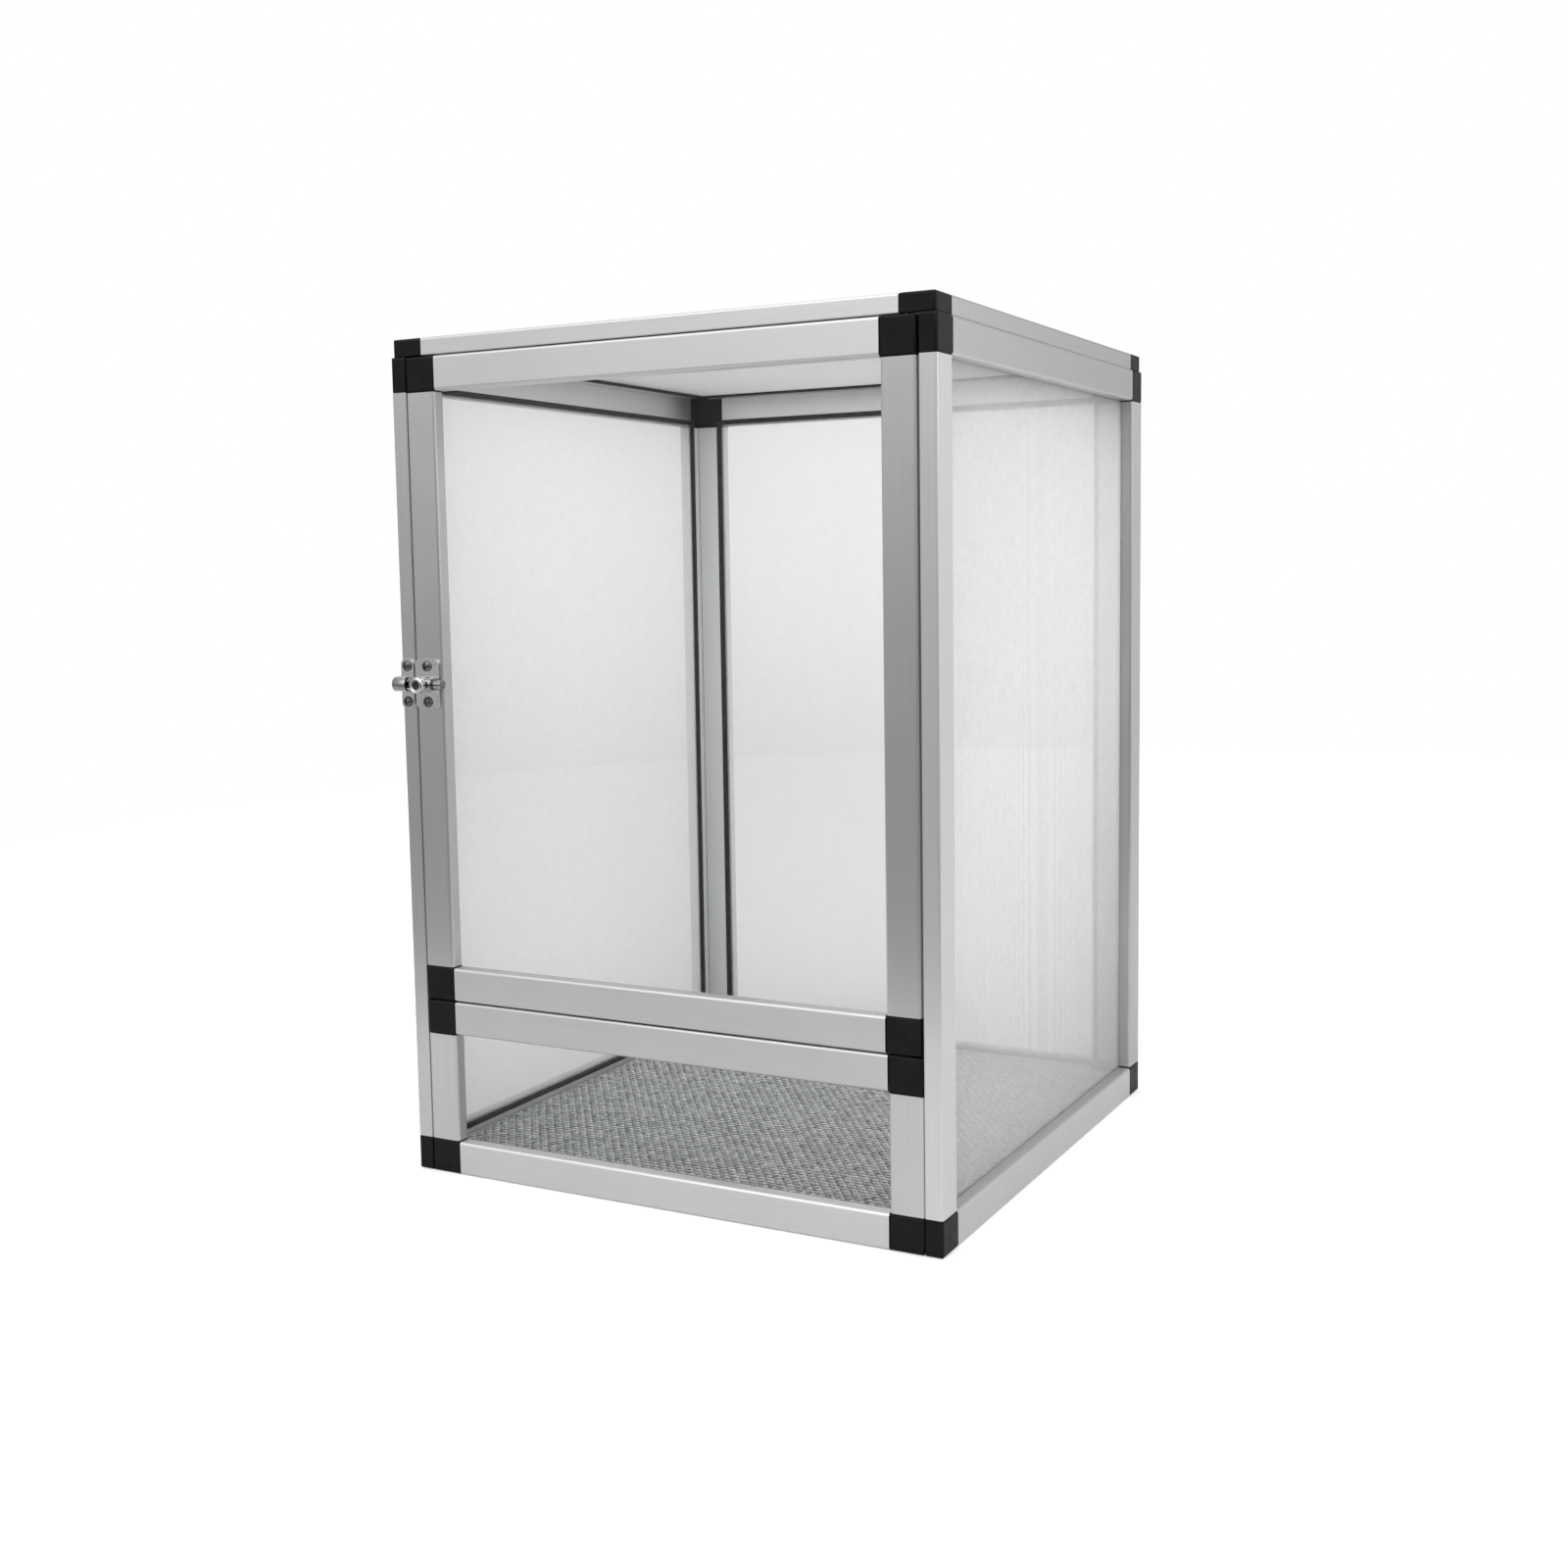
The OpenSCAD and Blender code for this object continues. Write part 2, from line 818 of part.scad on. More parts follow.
// Half outline of the knob's head: a disc with both rims rounded.
module knob_outline() {
    difference() {
        square([knob_d / 2, knob_len]);
        translate([knob_d / 2, 0]) mirror([1, 0]) corner_cut(knob_rim_r);
        translate([knob_d / 2, knob_len]) rotate(180) corner_cut(knob_rim_r);
    }
}

left_side_bottom_rail();
left_side_top_rail();
left_side_front_stile();
left_side_rear_stile();
left_side_corners();
left_side_mesh();
left_side_spline();
right_side_bottom_rail();
right_side_top_rail();
right_side_front_stile();
right_side_rear_stile();
right_side_corners();
right_side_mesh();
right_side_spline();
rear_bottom_rail();
rear_top_rail();
rear_left_stile();
rear_right_stile();
rear_corners();
rear_mesh();
rear_spline();
top_front_rail();
top_rear_rail();
top_left_rail();
top_right_rail();
top_corners();
top_mesh();
top_spline();
floor_front_rail();
floor_rear_rail();
floor_left_rail();
floor_right_rail();
floor_corners();
floor_mesh();
floor_spline();
lower_front_bottom_rail();
lower_front_top_rail();
lower_front_left_stile();
lower_front_right_stile();
lower_front_corners();
lower_front_pane();
lower_front_spline();
door_bottom_rail();
door_top_rail();
door_left_stile();
door_right_stile();
door_corners();
door_pane();
door_spline();
joining_pins();
hinge_pins();
hinge_washer();
latch_body();
latch_body_screws();
latch_keeper();
latch_keeper_screws();
latch_bolt();
latch_knob();
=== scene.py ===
"""Looks of an upright reptile cage.

Aluminium screen frames, black corner blocks, wire mesh, a clear front and a bolt latch.
"""

import logging
import math
from dataclasses import dataclass, field
from enum import Enum
from functools import cache

import bmesh
import bpy
import numpy as np
from mathutils import Matrix, Vector


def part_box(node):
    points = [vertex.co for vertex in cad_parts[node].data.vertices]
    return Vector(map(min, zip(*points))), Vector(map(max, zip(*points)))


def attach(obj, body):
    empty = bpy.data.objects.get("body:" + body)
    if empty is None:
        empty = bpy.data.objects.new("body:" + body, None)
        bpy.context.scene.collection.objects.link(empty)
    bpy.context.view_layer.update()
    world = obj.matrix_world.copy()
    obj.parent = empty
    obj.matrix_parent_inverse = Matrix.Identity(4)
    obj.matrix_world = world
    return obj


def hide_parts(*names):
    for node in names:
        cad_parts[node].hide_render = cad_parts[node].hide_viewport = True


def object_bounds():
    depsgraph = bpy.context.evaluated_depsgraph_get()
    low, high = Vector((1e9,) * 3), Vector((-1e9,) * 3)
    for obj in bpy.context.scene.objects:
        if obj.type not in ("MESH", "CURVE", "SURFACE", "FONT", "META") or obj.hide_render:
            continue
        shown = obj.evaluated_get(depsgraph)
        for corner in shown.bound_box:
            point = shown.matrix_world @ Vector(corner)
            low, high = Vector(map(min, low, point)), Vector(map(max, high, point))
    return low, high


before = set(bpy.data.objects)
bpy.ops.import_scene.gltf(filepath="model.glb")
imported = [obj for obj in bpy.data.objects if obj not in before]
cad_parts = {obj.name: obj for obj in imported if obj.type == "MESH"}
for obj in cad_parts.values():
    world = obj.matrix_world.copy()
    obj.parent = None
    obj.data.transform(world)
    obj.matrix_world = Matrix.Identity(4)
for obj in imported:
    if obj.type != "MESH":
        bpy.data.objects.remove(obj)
cad_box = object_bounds()

MM = 0.001
LOG = logging.getLogger("reptile_cage")

# Most of a noise lies between these values
NOISE_LOW, NOISE_HIGH = 0.3, 0.7
# Edges steeper than this are sharp
SHARP_EDGE = math.radians(40.0)
WELD_GAP = 0.001 * MM
BEVEL_STEPS = 2

Colour = tuple[float, float, float]
Span = tuple[float, float]
Socket = bpy.types.NodeSocket


class Body(Enum):
    """The bodies that new pieces move with."""

    FRAME = "frame"
    DOOR = "door"


class Slot(Enum):
    """Names of material slots that are passed along with new pieces; nothing reads them."""

    SCREEN = "screen"
    FLOOR_WIRE = "floor_wire"
    SPLINE = "spline_rubber"
    LATCH = "latch_steel"


class Axis(Enum):
    """The axes of the cage: across, from front to back, and up."""

    X = 0
    Y = 1
    Z = 2

    @property
    def others(self) -> tuple["Axis", "Axis"]:
        """The other two axes, in order."""
        first, second = (axis for axis in Axis if axis is not self)
        return first, second

    @property
    def unit(self) -> np.ndarray:
        """A step of 1 along the axis."""
        return np.eye(3)[self.value]


class NodeSheet:
    """A node tree, with short calls that add nodes and join them."""

    def __init__(self, tree: bpy.types.NodeTree) -> None:
        """Starts with no nodes.

        Args:
            tree: Tree that is emptied and filled.
        """
        self.tree = tree
        self.tree.nodes.clear()

    def add(self, kind: str, **settings: object) -> bpy.types.Node:
        """Adds a node.

        Args:
            kind: Blender's name of the node type.
            settings: Properties to set on the node.

        Returns:
            The new node.
        """
        node = self.tree.nodes.new(kind)
        for key, value in settings.items():
            setattr(node, key, value)
        return node

    def join(self, source: Socket, target: Socket) -> None:
        """Links an output socket to an input socket."""
        self.tree.links.new(source, target)

    def feed(self, value: float | Colour | Socket, target: Socket) -> None:
        """Links an input socket, or sets it to a constant.

        Args:
            value: An output socket, a number or a colour.
            target: The input socket.
        """
        if isinstance(value, Socket):
            self.join(value, target)
        else:
            target.default_value = (*value, 1.0) if isinstance(value, tuple) else value

    def combine(self, operation: str, first: Socket, second: float | Socket) -> Socket:
        """Adds a sum on two values.

        Args:
            operation: Blender's name of the sum.
            first: First value.
            second: Second value.

        Returns:
            The result.
        """
        node = self.add("ShaderNodeMath", operation=operation)
        self.feed(first, node.inputs[0])
        self.feed(second, node.inputs[1])
        return node.outputs["Value"]

    def ramp(
        self, value: Socket, limits: Span, results: tuple[float | Socket, float | Socket]
    ) -> Socket:
        """Adds a smooth step.

        Args:
            value: Value to map.
            limits: Values at which the step starts and ends.
            results: Results at its start and end.

        Returns:
            The mapped value.
        """
        node = self.add("ShaderNodeMapRange", interpolation_type="SMOOTHSTEP")
        self.feed(limits[0], node.inputs["From Min"])
        self.feed(limits[1], node.inputs["From Max"])
        self.feed(results[0], node.inputs["To Min"])
        self.feed(results[1], node.inputs["To Max"])
        self.join(value, node.inputs["Value"])
        return node.outputs["Result"]


@dataclass(frozen=True)
class Relief:
    """Depth of a fine relief in metres, and the share of it that is used."""

    depth: float
    strength: float


class ShaderSheet(NodeSheet):
    """The node tree of a new material."""

    def __init__(self, name: str) -> None:
        """Starts an empty material.

        Args:
            name: Name of the material.
        """
        self.material = bpy.data.materials.new(name)
        self.material.use_nodes = True
        super().__init__(self.material.node_tree)
        self.output = self.add("ShaderNodeOutputMaterial")

    def surface(self, shader: Socket) -> bpy.types.Material:
        """Makes a shader the surface of the material and returns the material."""
        self.join(shader, self.output.inputs["Surface"])
        return self.material

    def principled(self, **sockets: float) -> bpy.types.Node:
        """Adds the main shader.

        Args:
            sockets: Constant values by socket name, with spaces written as underscores.

        Returns:
            The shader's node.
        """
        node = self.add("ShaderNodeBsdfPrincipled")
        for key, value in sockets.items():
            node.inputs[key.replace("_", " ")].default_value = value
        return node

    def noise(self, per_metre: tuple[float, float, float], detail: float = 3.0) -> Socket:
        """Adds noise in the piece's own coordinates.

        Args:
            per_metre: Features for each metre along X, Y and Z.
            detail: Octaves of the noise.

        Returns:
            The noise value, from 0 to 1.
        """
        place = self.add("ShaderNodeTexCoord")
        stretch = self.add("ShaderNodeMapping")
        stretch.inputs["Scale"].default_value = per_metre
        texture = self.add("ShaderNodeTexNoise")
        texture.inputs["Scale"].default_value = 1.0
        texture.inputs["Detail"].default_value = detail
        self.join(place.outputs["Object"], stretch.inputs["Vector"])
        self.join(stretch.outputs["Vector"], texture.inputs["Vector"])
        return texture.outputs["Fac"]

    def spread(self, value: Socket, low: float, high: float) -> Socket:
        """Maps the usual range of a noise to new limits.

        Args:
            value: A noise value.
            low: Result in the noise's valleys.
            high: Result on its hills.

        Returns:
            The mapped value.
        """
        node = self.add("ShaderNodeMapRange")
        node.inputs["From Min"].default_value = NOISE_LOW
        node.inputs["From Max"].default_value = NOISE_HIGH
        node.inputs["To Min"].default_value = low
        node.inputs["To Max"].default_value = high
        self.join(value, node.inputs["Value"])
        return node.outputs["Result"]

    def blend(self, share: Socket, first: Colour | Socket, second: Colour | Socket) -> Socket:
        """Runs between two colours.

        Args:
            share: Share of the second colour, from 0 to 1.
            first: First colour.
            second: Second colour.

        Returns:
            The colour.
        """
        node = self.add("ShaderNodeMix", data_type="RGBA")
        sides = [socket for socket in node.inputs if socket.type == "RGBA"]
        self.feed(first, sides[0])
        self.feed(second, sides[1])
        self.join(share, node.inputs["Factor"])
        return next(socket for socket in node.outputs if socket.type == "RGBA")

    def tint(self, value: Socket, dark: Colour, light: Colour) -> Socket:
        """Runs from a dark colour in a noise's valleys to a light one on its hills."""
        return self.blend(self.spread(value, 0.0, 1.0), dark, light)

    def direction(self, axis: Axis) -> Socket:
        """Gives a direction that turns with the piece.

        Args:
            axis: Axis of the piece.

        Returns:
            The direction in the scene.
        """
        own = self.add("ShaderNodeCombineXYZ")
        own.inputs[axis.value].default_value = 1.0
        turned = self.add(
            "ShaderNodeVectorTransform",
            vector_type="VECTOR",
            convert_from="OBJECT",
            convert_to="WORLD",
        )
        self.join(own.outputs["Vector"], turned.inputs["Vector"])
        return turned.outputs["Vector"]

    def finish(
        self,
        shader: bpy.types.Node,
        colour: Colour | Socket,
        sheen: Socket,
        height: Socket,
        relief: Relief,
    ) -> bpy.types.Material:
        """Joins the parts of a finish and makes it the surface of the material.

        Args:
            shader: The main shader.
            colour: Its colour.
            sheen: Its roughness.
            height: Height of its relief, from 0 to 1.
            relief: What a height of 1 is.

        Returns:
            The material.
        """
        bump = self.add("ShaderNodeBump")
        bump.inputs["Distance"].default_value = relief.depth
        bump.inputs["Strength"].default_value = relief.strength
        self.join(height, bump.inputs["Height"])
        self.join(bump.outputs["Normal"], shader.inputs["Normal"])
        self.feed(colour, shader.inputs["Base Color"])
        self.join(sheen, shader.inputs["Roughness"])
        return self.surface(shader.outputs["BSDF"])


@dataclass(frozen=True)
class AnodisedAluminium:
    """Satin anodised extrusion, with a fine grain and faint die lines along its length."""

    name: str = "anodised_aluminium"
    dark: Colour = (0.635, 0.64, 0.647)
    light: Colour = (0.67, 0.675, 0.681)
    metal: float = 1.0
    roughness: Span = (0.35, 0.42)
    streak: tuple[float, float, float] = (0.6, 0.9, 0.9)
    streak_turn: float = 0.25
    grain_across: float = 1500.0
    grain_along: float = 9.0
    handling: float = 26.0
    relief: Relief = Relief(0.02 * MM, 0.2)

    def material(self, along: Axis) -> bpy.types.Material:
        """Makes the finish for profiles that run one way.

        Args:
            along: Axis that the profile runs along.

        Returns:
            The material.
        """
        sheet = ShaderSheet(f"{self.name}_{along.name.lower()}")
        scale = [self.grain_across] * 3
        scale[along.value] = self.grain_along
        grain = sheet.noise(tuple(scale), detail=4.0)
        handled = sheet.noise((self.handling,) * 3)
        metal = sheet.principled(
            Metallic=self.metal,
            Anisotropic=self.streak[along.value],
            Anisotropic_Rotation=self.streak_turn,
        )
        sheet.join(sheet.direction(along), metal.inputs["Tangent"])
        colour = sheet.tint(grain, self.dark, self.light)
        sheen = sheet.spread(handled, *self.roughness)
        return sheet.finish(metal, colour, sheen, grain, self.relief)


@dataclass(frozen=True)
class MouldedPlastic:
    """Black moulded plastic with a fine eroded grain and a low sheen."""

    dark: Colour = (0.004, 0.004, 0.0043)
    light: Colour = (0.007, 0.007, 0.0073)
    roughness: Span = (0.34, 0.48)
    index: float = 1.5
    gloss: float = 0.14
    grain: float = 2200.0
    handling: float = 90.0
    relief: Relief = Relief(0.04 * MM, 0.4)

    def material(self) -> bpy.types.Material:
        """Makes the finish and returns its material."""
        sheet = ShaderSheet("moulded_black_plastic")
        grain = sheet.noise((self.grain,) * 3, detail=2.0)
        handled = sheet.noise((self.handling,) * 3)
        plastic = sheet.principled(IOR=self.index, Specular_IOR_Level=self.gloss)
        colour = sheet.tint(handled, self.dark, self.light)
        sheen = sheet.spread(handled, *self.roughness)
        return sheet.finish(plastic, colour, sheen, grain, self.relief)


@dataclass(frozen=True)
class ClearAcrylic:
    """Clear cast sheet with a trace of waviness in its faces."""

    colour: Colour = (0.985, 0.992, 0.99)
    roughness: Span = (0.0, 0.01)
    index: float = 1.2
    wave: float = 14.0
    handling: float = 56.0
    relief: Relief = Relief(0.02 * MM, 0.3)

    def material(self) -> bpy.types.Material:
        """Makes the finish and returns its material."""
        sheet = ShaderSheet("clear_acrylic")
        wave = sheet.noise((self.wave,) * 3, detail=1.0)
        handled = sheet.noise((self.handling,) * 3)
        pane = sheet.principled(IOR=self.index, Transmission_Weight=1.0)
        sheen = sheet.spread(handled, *self.roughness)
        return sheet.finish(pane, self.colour, sheen, wave, self.relief)


@dataclass(frozen=True)
class MottledFinish:
    """A finish whose colour, sheen and relief all follow one mottle."""

    name: str
    dark: Colour
    light: Colour
    roughness: Span
    mottle: float
    relief: Relief
    metallic: float = 0.0
    gloss: float = 0.5

    def colour(self, sheet: ShaderSheet, mottle: Socket) -> Socket:
        """Gives the colour of the surface, by the mottle."""
        return sheet.tint(mottle, self.dark, self.light)

    def material(self) -> bpy.types.Material:
        """Makes the finish and returns its material."""
        sheet = ShaderSheet(self.name)
        mottle = sheet.noise((self.mottle,) * 3)
        shader = sheet.principled(Metallic=self.metallic, Specular_IOR_Level=self.gloss)
        colour = self.colour(sheet, mottle)
        sheen = sheet.spread(mottle, *self.roughness)
        return sheet.finish(shader, colour, sheen, mottle, self.relief)


@dataclass(frozen=True)
class DrawnWire(MottledFinish):
    """Drawn metal wire, mottled by its plating."""

    roughness: Span = (0.4, 0.55)
    mottle: float = 300.0
    relief: Relief = Relief(0.02 * MM, 0.3)
    metallic: float = 0.1


@dataclass(frozen=True)
class SplineRubber(MottledFinish):
    """Dull black rubber with a dusty bloom."""

    name: str = "spline_rubber"
    dark: Colour = (0.01, 0.01, 0.01)
    light: Colour = (0.024, 0.024, 0.0235)
    roughness: Span = (0.42, 0.6)
    mottle: float = 320.0
    relief: Relief = Relief(0.05 * MM, 0.4)
    gloss: float = 0.3


@dataclass(frozen=True)
class PolishedPlate(MottledFinish):
    """Bright plated steel with faint polishing marks."""

    roughness: Span = (0.06, 0.12)
    mottle: float = 420.0
    relief: Relief = Relief(0.02 * MM, 0.2)
    metallic: float = 1.0


@dataclass(frozen=True)
class PaintedShadePlate(PolishedPlate):
    """Bright plating with painted shade round a line from front to back, or round a level."""

    # Where the painted shade lies, the radii over which it fades out, and its colour
    centre: Span = (0.0, 0.0)
    round_line: bool = True
    inner_r: float = 2.0 * MM
    outer_r: float = 3.0 * MM
    shade: Colour = (0.05, 0.05, 0.052)

    def colour(self, sheet: ShaderSheet, mottle: Socket) -> Socket:
        """Gives the colour of the plating, with painted shade near the line or level.

        Args:
            sheet: Sheet of the material.
            mottle: Polishing marks.

        Returns:
            The colour.
        """
        place = sheet.add("ShaderNodeTexCoord")
        offset = sheet.add("ShaderNodeVectorMath", operation="SUBTRACT")
        offset.inputs[1].default_value = (self.centre[0], 0.0, self.centre[1])
        level = sheet.add("ShaderNodeVectorMath", operation="MULTIPLY")
        level.inputs[1].default_value = (float(self.round_line), 0.0, 1.0)
        away = sheet.add("ShaderNodeVectorMath", operation="LENGTH")
        sheet.join(place.outputs["Object"], offset.inputs[0])
        sheet.join(offset.outputs["Vector"], level.inputs[0])
        sheet.join(level.outputs["Vector"], away.inputs[0])
        # Share of the plating that lies outside the painted shade
        bright = sheet.ramp(away.outputs["Value"], (self.inner_r, self.outer_r), (0.0, 1.0))
        return sheet.blend(bright, self.shade, super().colour(sheet, mottle))


BRIGHT_ALUMINIUM = AnodisedAluminium()
# Copies of the one anodised aluminium that paint light and shade onto some lengths. The matt and
# satin copies are lighter, which is painted light, and have less metal. The grey copy is darker,
# which is painted shade.
LIT_SATIN_ALUMINIUM = AnodisedAluminium(
    "lit_satin_aluminium", (0.68, 0.685, 0.692), (0.72, 0.724, 0.73), metal=0.78
)
LIT_MATT_ALUMINIUM = AnodisedAluminium(
    "lit_matt_aluminium", (0.79, 0.795, 0.802), (0.83, 0.834, 0.84), metal=0.35
)
SHADED_ALUMINIUM = AnodisedAluminium("shaded_aluminium", (0.555, 0.56, 0.567), (0.59, 0.595, 0.601))
# Lengths that take a lit or a shaded copy of the aluminium: painted light and shade
LIT_AND_SHADED_LENGTHS = {
    "door_bottom_rail": SHADED_ALUMINIUM,
    "lower_front_top_rail": SHADED_ALUMINIUM,
    "right_side_rear_stile": SHADED_ALUMINIUM,
    "rear_right_stile": SHADED_ALUMINIUM,
    "rear_left_stile": LIT_MATT_ALUMINIUM,
    "rear_top_rail": LIT_MATT_ALUMINIUM,
    "left_side_rear_stile": LIT_MATT_ALUMINIUM,
    "left_side_top_rail": LIT_SATIN_ALUMINIUM,
    "right_side_front_stile": LIT_SATIN_ALUMINIUM,
}
SCREEN_WIRE = DrawnWire(
    "screen_wire",
    (0.88, 0.885, 0.88),
    (0.95, 0.952, 0.946),
    roughness=(0.38, 0.55),
    mottle=240.0,
    metallic=0.0,
)
# One floor wire in two copies: the strands across are lighter, which is painted light, and those
# from front to back are darker, which is painted shade
FLOOR_LIT = DrawnWire("lit_floor_strand", (0.5, 0.506, 0.508), (0.95, 0.955, 0.952))
FLOOR_SHADED = DrawnWire("shaded_floor_strand", (0.11, 0.113, 0.115), (0.62, 0.626, 0.627))
SCREW_STEEL = PolishedPlate(
    "dark_screw_steel", (0.1, 0.1, 0.102), (0.16, 0.16, 0.163), roughness=(0.16, 0.24)
)
PIN_STEEL = PolishedPlate(
    "plain_pin_steel", (0.5, 0.5, 0.51), (0.6, 0.6, 0.61), roughness=(0.28, 0.4)
)

PANELS = {"left_side": Axis.X, "right_side": Axis.X, "rear": Axis.Y, "top": Axis.Z}
CLEAR_PANELS = {"lower_front": Body.FRAME, "door": Body.DOOR}
PANE_STEM = 2.2 * MM


@cache
def aluminium(finish: AnodisedAluminium, along: Axis) -> bpy.types.Material:
    """Makes an aluminium finish for profiles that run one way, once for each way."""
    return finish.material(along)


def clothe(piece: bpy.types.Object, material: bpy.types.Material) -> None:
    """Gives a piece one material in all its slots.

    Args:
        piece: Piece to clothe.
        material: Its finish.
    """
    if not piece.material_slots:
        piece.data.materials.append(material)
    for slot in piece.material_slots:
        slot.material = material


def add_piece(
    name: str,
    mesh: bpy.types.Mesh,
    body: Body,
    slot: Slot,
    material: bpy.types.Material,
    *stands_for: str,
) -> bpy.types.Object:
    """Adds a new piece to the cage.

    Args:
        name: Name of the piece.
        mesh: Its mesh, in the frame of the cage.
        body: Body that it moves with.
        slot: Its material slot; not used.
        material: Its finish.
        stands_for: Solids that it is shown instead of.

    Returns:
        The new object.
    """
    piece = bpy.data.objects.new(name, mesh)
    bpy.context.scene.collection.objects.link(piece)
    clothe(piece, material)
    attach(piece, body.value)
    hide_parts(*stands_for)
    LOG.info("%s: %d faces on %s", name, len(mesh.polygons), body.value)
    return piece


def soften(node: str, width: float) -> None:
    """Breaks the sharp edges of a solid so that they catch the light.

    Args:
        node: Name of the solid.
        width: Width of the broken edge.
    """
    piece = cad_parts[node]
    weld = piece.modifiers.new("joined_faces", "WELD")
    weld.merge_threshold = WELD_GAP
    edge = piece.modifiers.new("broken_edges", "BEVEL")
    edge.width = width
    edge.segments = BEVEL_STEPS
    edge.limit_method = "ANGLE"
    edge.angle_limit = SHARP_EDGE
    edge.harden_normals = True


def closed_mesh(
    name: str, points: list[Vector], faces: list[tuple[int, ...]]
) -> bpy.types.Mesh:
    """Makes a closed mesh with its faces turned outwards, smooth but for its sharp edges.

    Args:
        name: Name of the mesh.
        points: Its corners.
        faces: Its faces, as numbers of corners.

    Returns:
        The mesh.
    """
    mesh = bpy.data.meshes.new(name)
    mesh.from_pydata(points, [], faces)
    work = bmesh.new()
    work.from_mesh(mesh)
    bmesh.ops.recalc_face_normals(work, faces=work.faces)
    for face in work.faces:
        face.smooth = True
    for edge in work.edges:
        edge.smooth = len(edge.link_faces) == 2 and edge.calc_face_angle() < SHARP_EDGE
    work.to_mesh(mesh)
    work.free()
    return mesh


def faces_of(node: str, normal: Axis) -> Span:
    """Finds the inner and the outer face of a flat piece.

    Args:
        node: Name of the solid.
        normal: Axis that is square to the piece.

    Returns:
        Where the inner and the outer face lie on that axis.
    """
    low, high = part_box(node)
    n = normal.value
    if (low + high)[n] > (cad_box[0] + cad_box[1])[n]:
        return low[n], high[n]
    return high[n], low[n]


def bearing(azimuth: float, elevation: float) -> Vector:
    """Gives a direction from the cage.

    Args:
        azimuth: Degrees to the right of the front.
        elevation: Degrees above the level.

    Returns:
        The direction, with a length of 1.
    """
    turn, rise = math.radians(azimuth), math.radians(elevation)
    level = math.cos(rise)
    return Vector((math.sin(turn) * level, -math.cos(turn) * level, math.sin(rise)))


class TubeMesh:
    """Wires with a round or flattened section, gathered as closed tubes in one mesh."""

    def __init__(self, thickness: float, sides: int, widening: float = 1.0) -> None:
        """Starts with no wires.

        Args:
            thickness: Thickness of a wire.
            sides: Sides of a wire's section.
            widening: Width of a wire over its thickness.
        """
        self.radius = thickness / 2
        self.sides = sides
        self.widening = widening
        self.points: list[np.ndarray] = []
        self.faces: list[list[int]] = []
        self.count = 0

    def add(self, paths: np.ndarray, width_way: np.ndarray) -> None:
        """Adds wires with the same number of points.

        Args:
            paths: Points of the wires, as wires by points by 3.
            width_way: Direction of the width, square to the run: one for all wires or one for each.
        """
        wires, stops = paths.shape[:2]
        across = np.reshape(width_way, (-1, 1, 3))
        run = np.gradient(paths, axis=1)
        run /= np.linalg.norm(run, axis=2, keepdims=True)
        outward = np.cross(across, run)
        outward /= np.linalg.norm(outward, axis=2, keepdims=True)
        turn = 2 * math.pi * (np.arange(self.sides) + 0.5) / self.sides
        ring = np.cos(turn)[:, None] * outward[:, :, None, :]
        ring = ring + self.widening * np.sin(turn)[:, None] * across[:, :, None, :]
        self.points.append((paths[:, :, None, :] + self.radius * ring).reshape(-1, 3))
        corners = wires * stops * self.sides
        index = self.count + np.arange(corners).reshape(wires, stops, self.sides)
        after = np.roll(index, -1, axis=2)
        walls = np.stack([index[:, :-1], after[:, :-1], after[:, 1:], index[:, 1:]], axis=-1)
        self.faces += walls.reshape(-1, 4).tolist()
        self.faces += index[:, 0, ::-1].tolist() + index[:, -1].tolist()
        self.count += corners

    def mesh(self, name: str) -> bpy.types.Mesh:
        """Makes the mesh.

        Args:
            name: Name of the mesh.

        Returns:
            The mesh, with round shading along the wires.
        """
        made = bpy.data.meshes.new(name)
        made.from_pydata(np.concatenate(self.points).tolist(), [], self.faces)
        made.polygons.foreach_set("use_smooth", [len(face) == 4 for face in self.faces])
        made.update()
        return made


@dataclass
class ScreenPanel:
    """Fine screen in one panel, drawn wire by wire."""

    panel: str
    normal: Axis
    pitch: tuple[float, float, float] = (0.625 * MM, 0.5 * MM, 0.5 * MM)
    wire_d: float = 0.125 * MM
    edge: float = 0.2 * MM
    sides: int = 5

    def build(self, material: bpy.types.Material) -> bpy.types.Object:
        """Draws both sets of wires and puts the screen in place of its plain net.

        Args:
            material: Finish of the wires.

        Returns:
            The screen.
        """
        net = f"{self.panel}_mesh"
        low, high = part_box(net)
        inner, outer = faces_of(net, self.normal)
        outward = math.copysign(1.0, outer - inner)
        first, second = self.normal.others
        wires = TubeMesh(self.wire_d, self.sides)
        for layer, (along, across) in enumerate(((first, second), (second, first))):
            level = inner + outward * self.wire_d * (layer + 0.5)
            wires.add(self.straight_set(low, high, along, across, level), across.unit)
        mesh = wires.mesh(f"{self.panel}_screen")
        return add_piece(mesh.name, mesh, Body.FRAME, Slot.SCREEN, material, net)

    def straight_set(
        self, low: Vector, high: Vector, along: Axis, across: Axis, level: float
    ) -> np.ndarray:
        """Lays out the wires that run one way.

        Args:
            low: Lowest corner of the net.
            high: Highest corner of the net.
            along: Axis that the wires run along.
            across: Axis that they are spaced along.
            level: Where they lie on the panel's normal.

        Returns:
            The ends of the wires, as wires by 2 by 3.
        """
        a, b = along.value, across.value
        pitch = self.pitch[b]
        span = high[b] - low[b] - 2 * self.edge
        count = int(span / pitch) + 1
        start = (low[b] + high[b] - (count - 1) * pitch) / 2
        paths = np.zeros((count, 2, 3))
        paths[:, :, b] = (start + pitch * np.arange(count))[:, None]
        paths[:, :, a] = (low[a] + self.edge, high[a] - self.edge)
        paths[:, :, self.normal.value] = level
        return paths


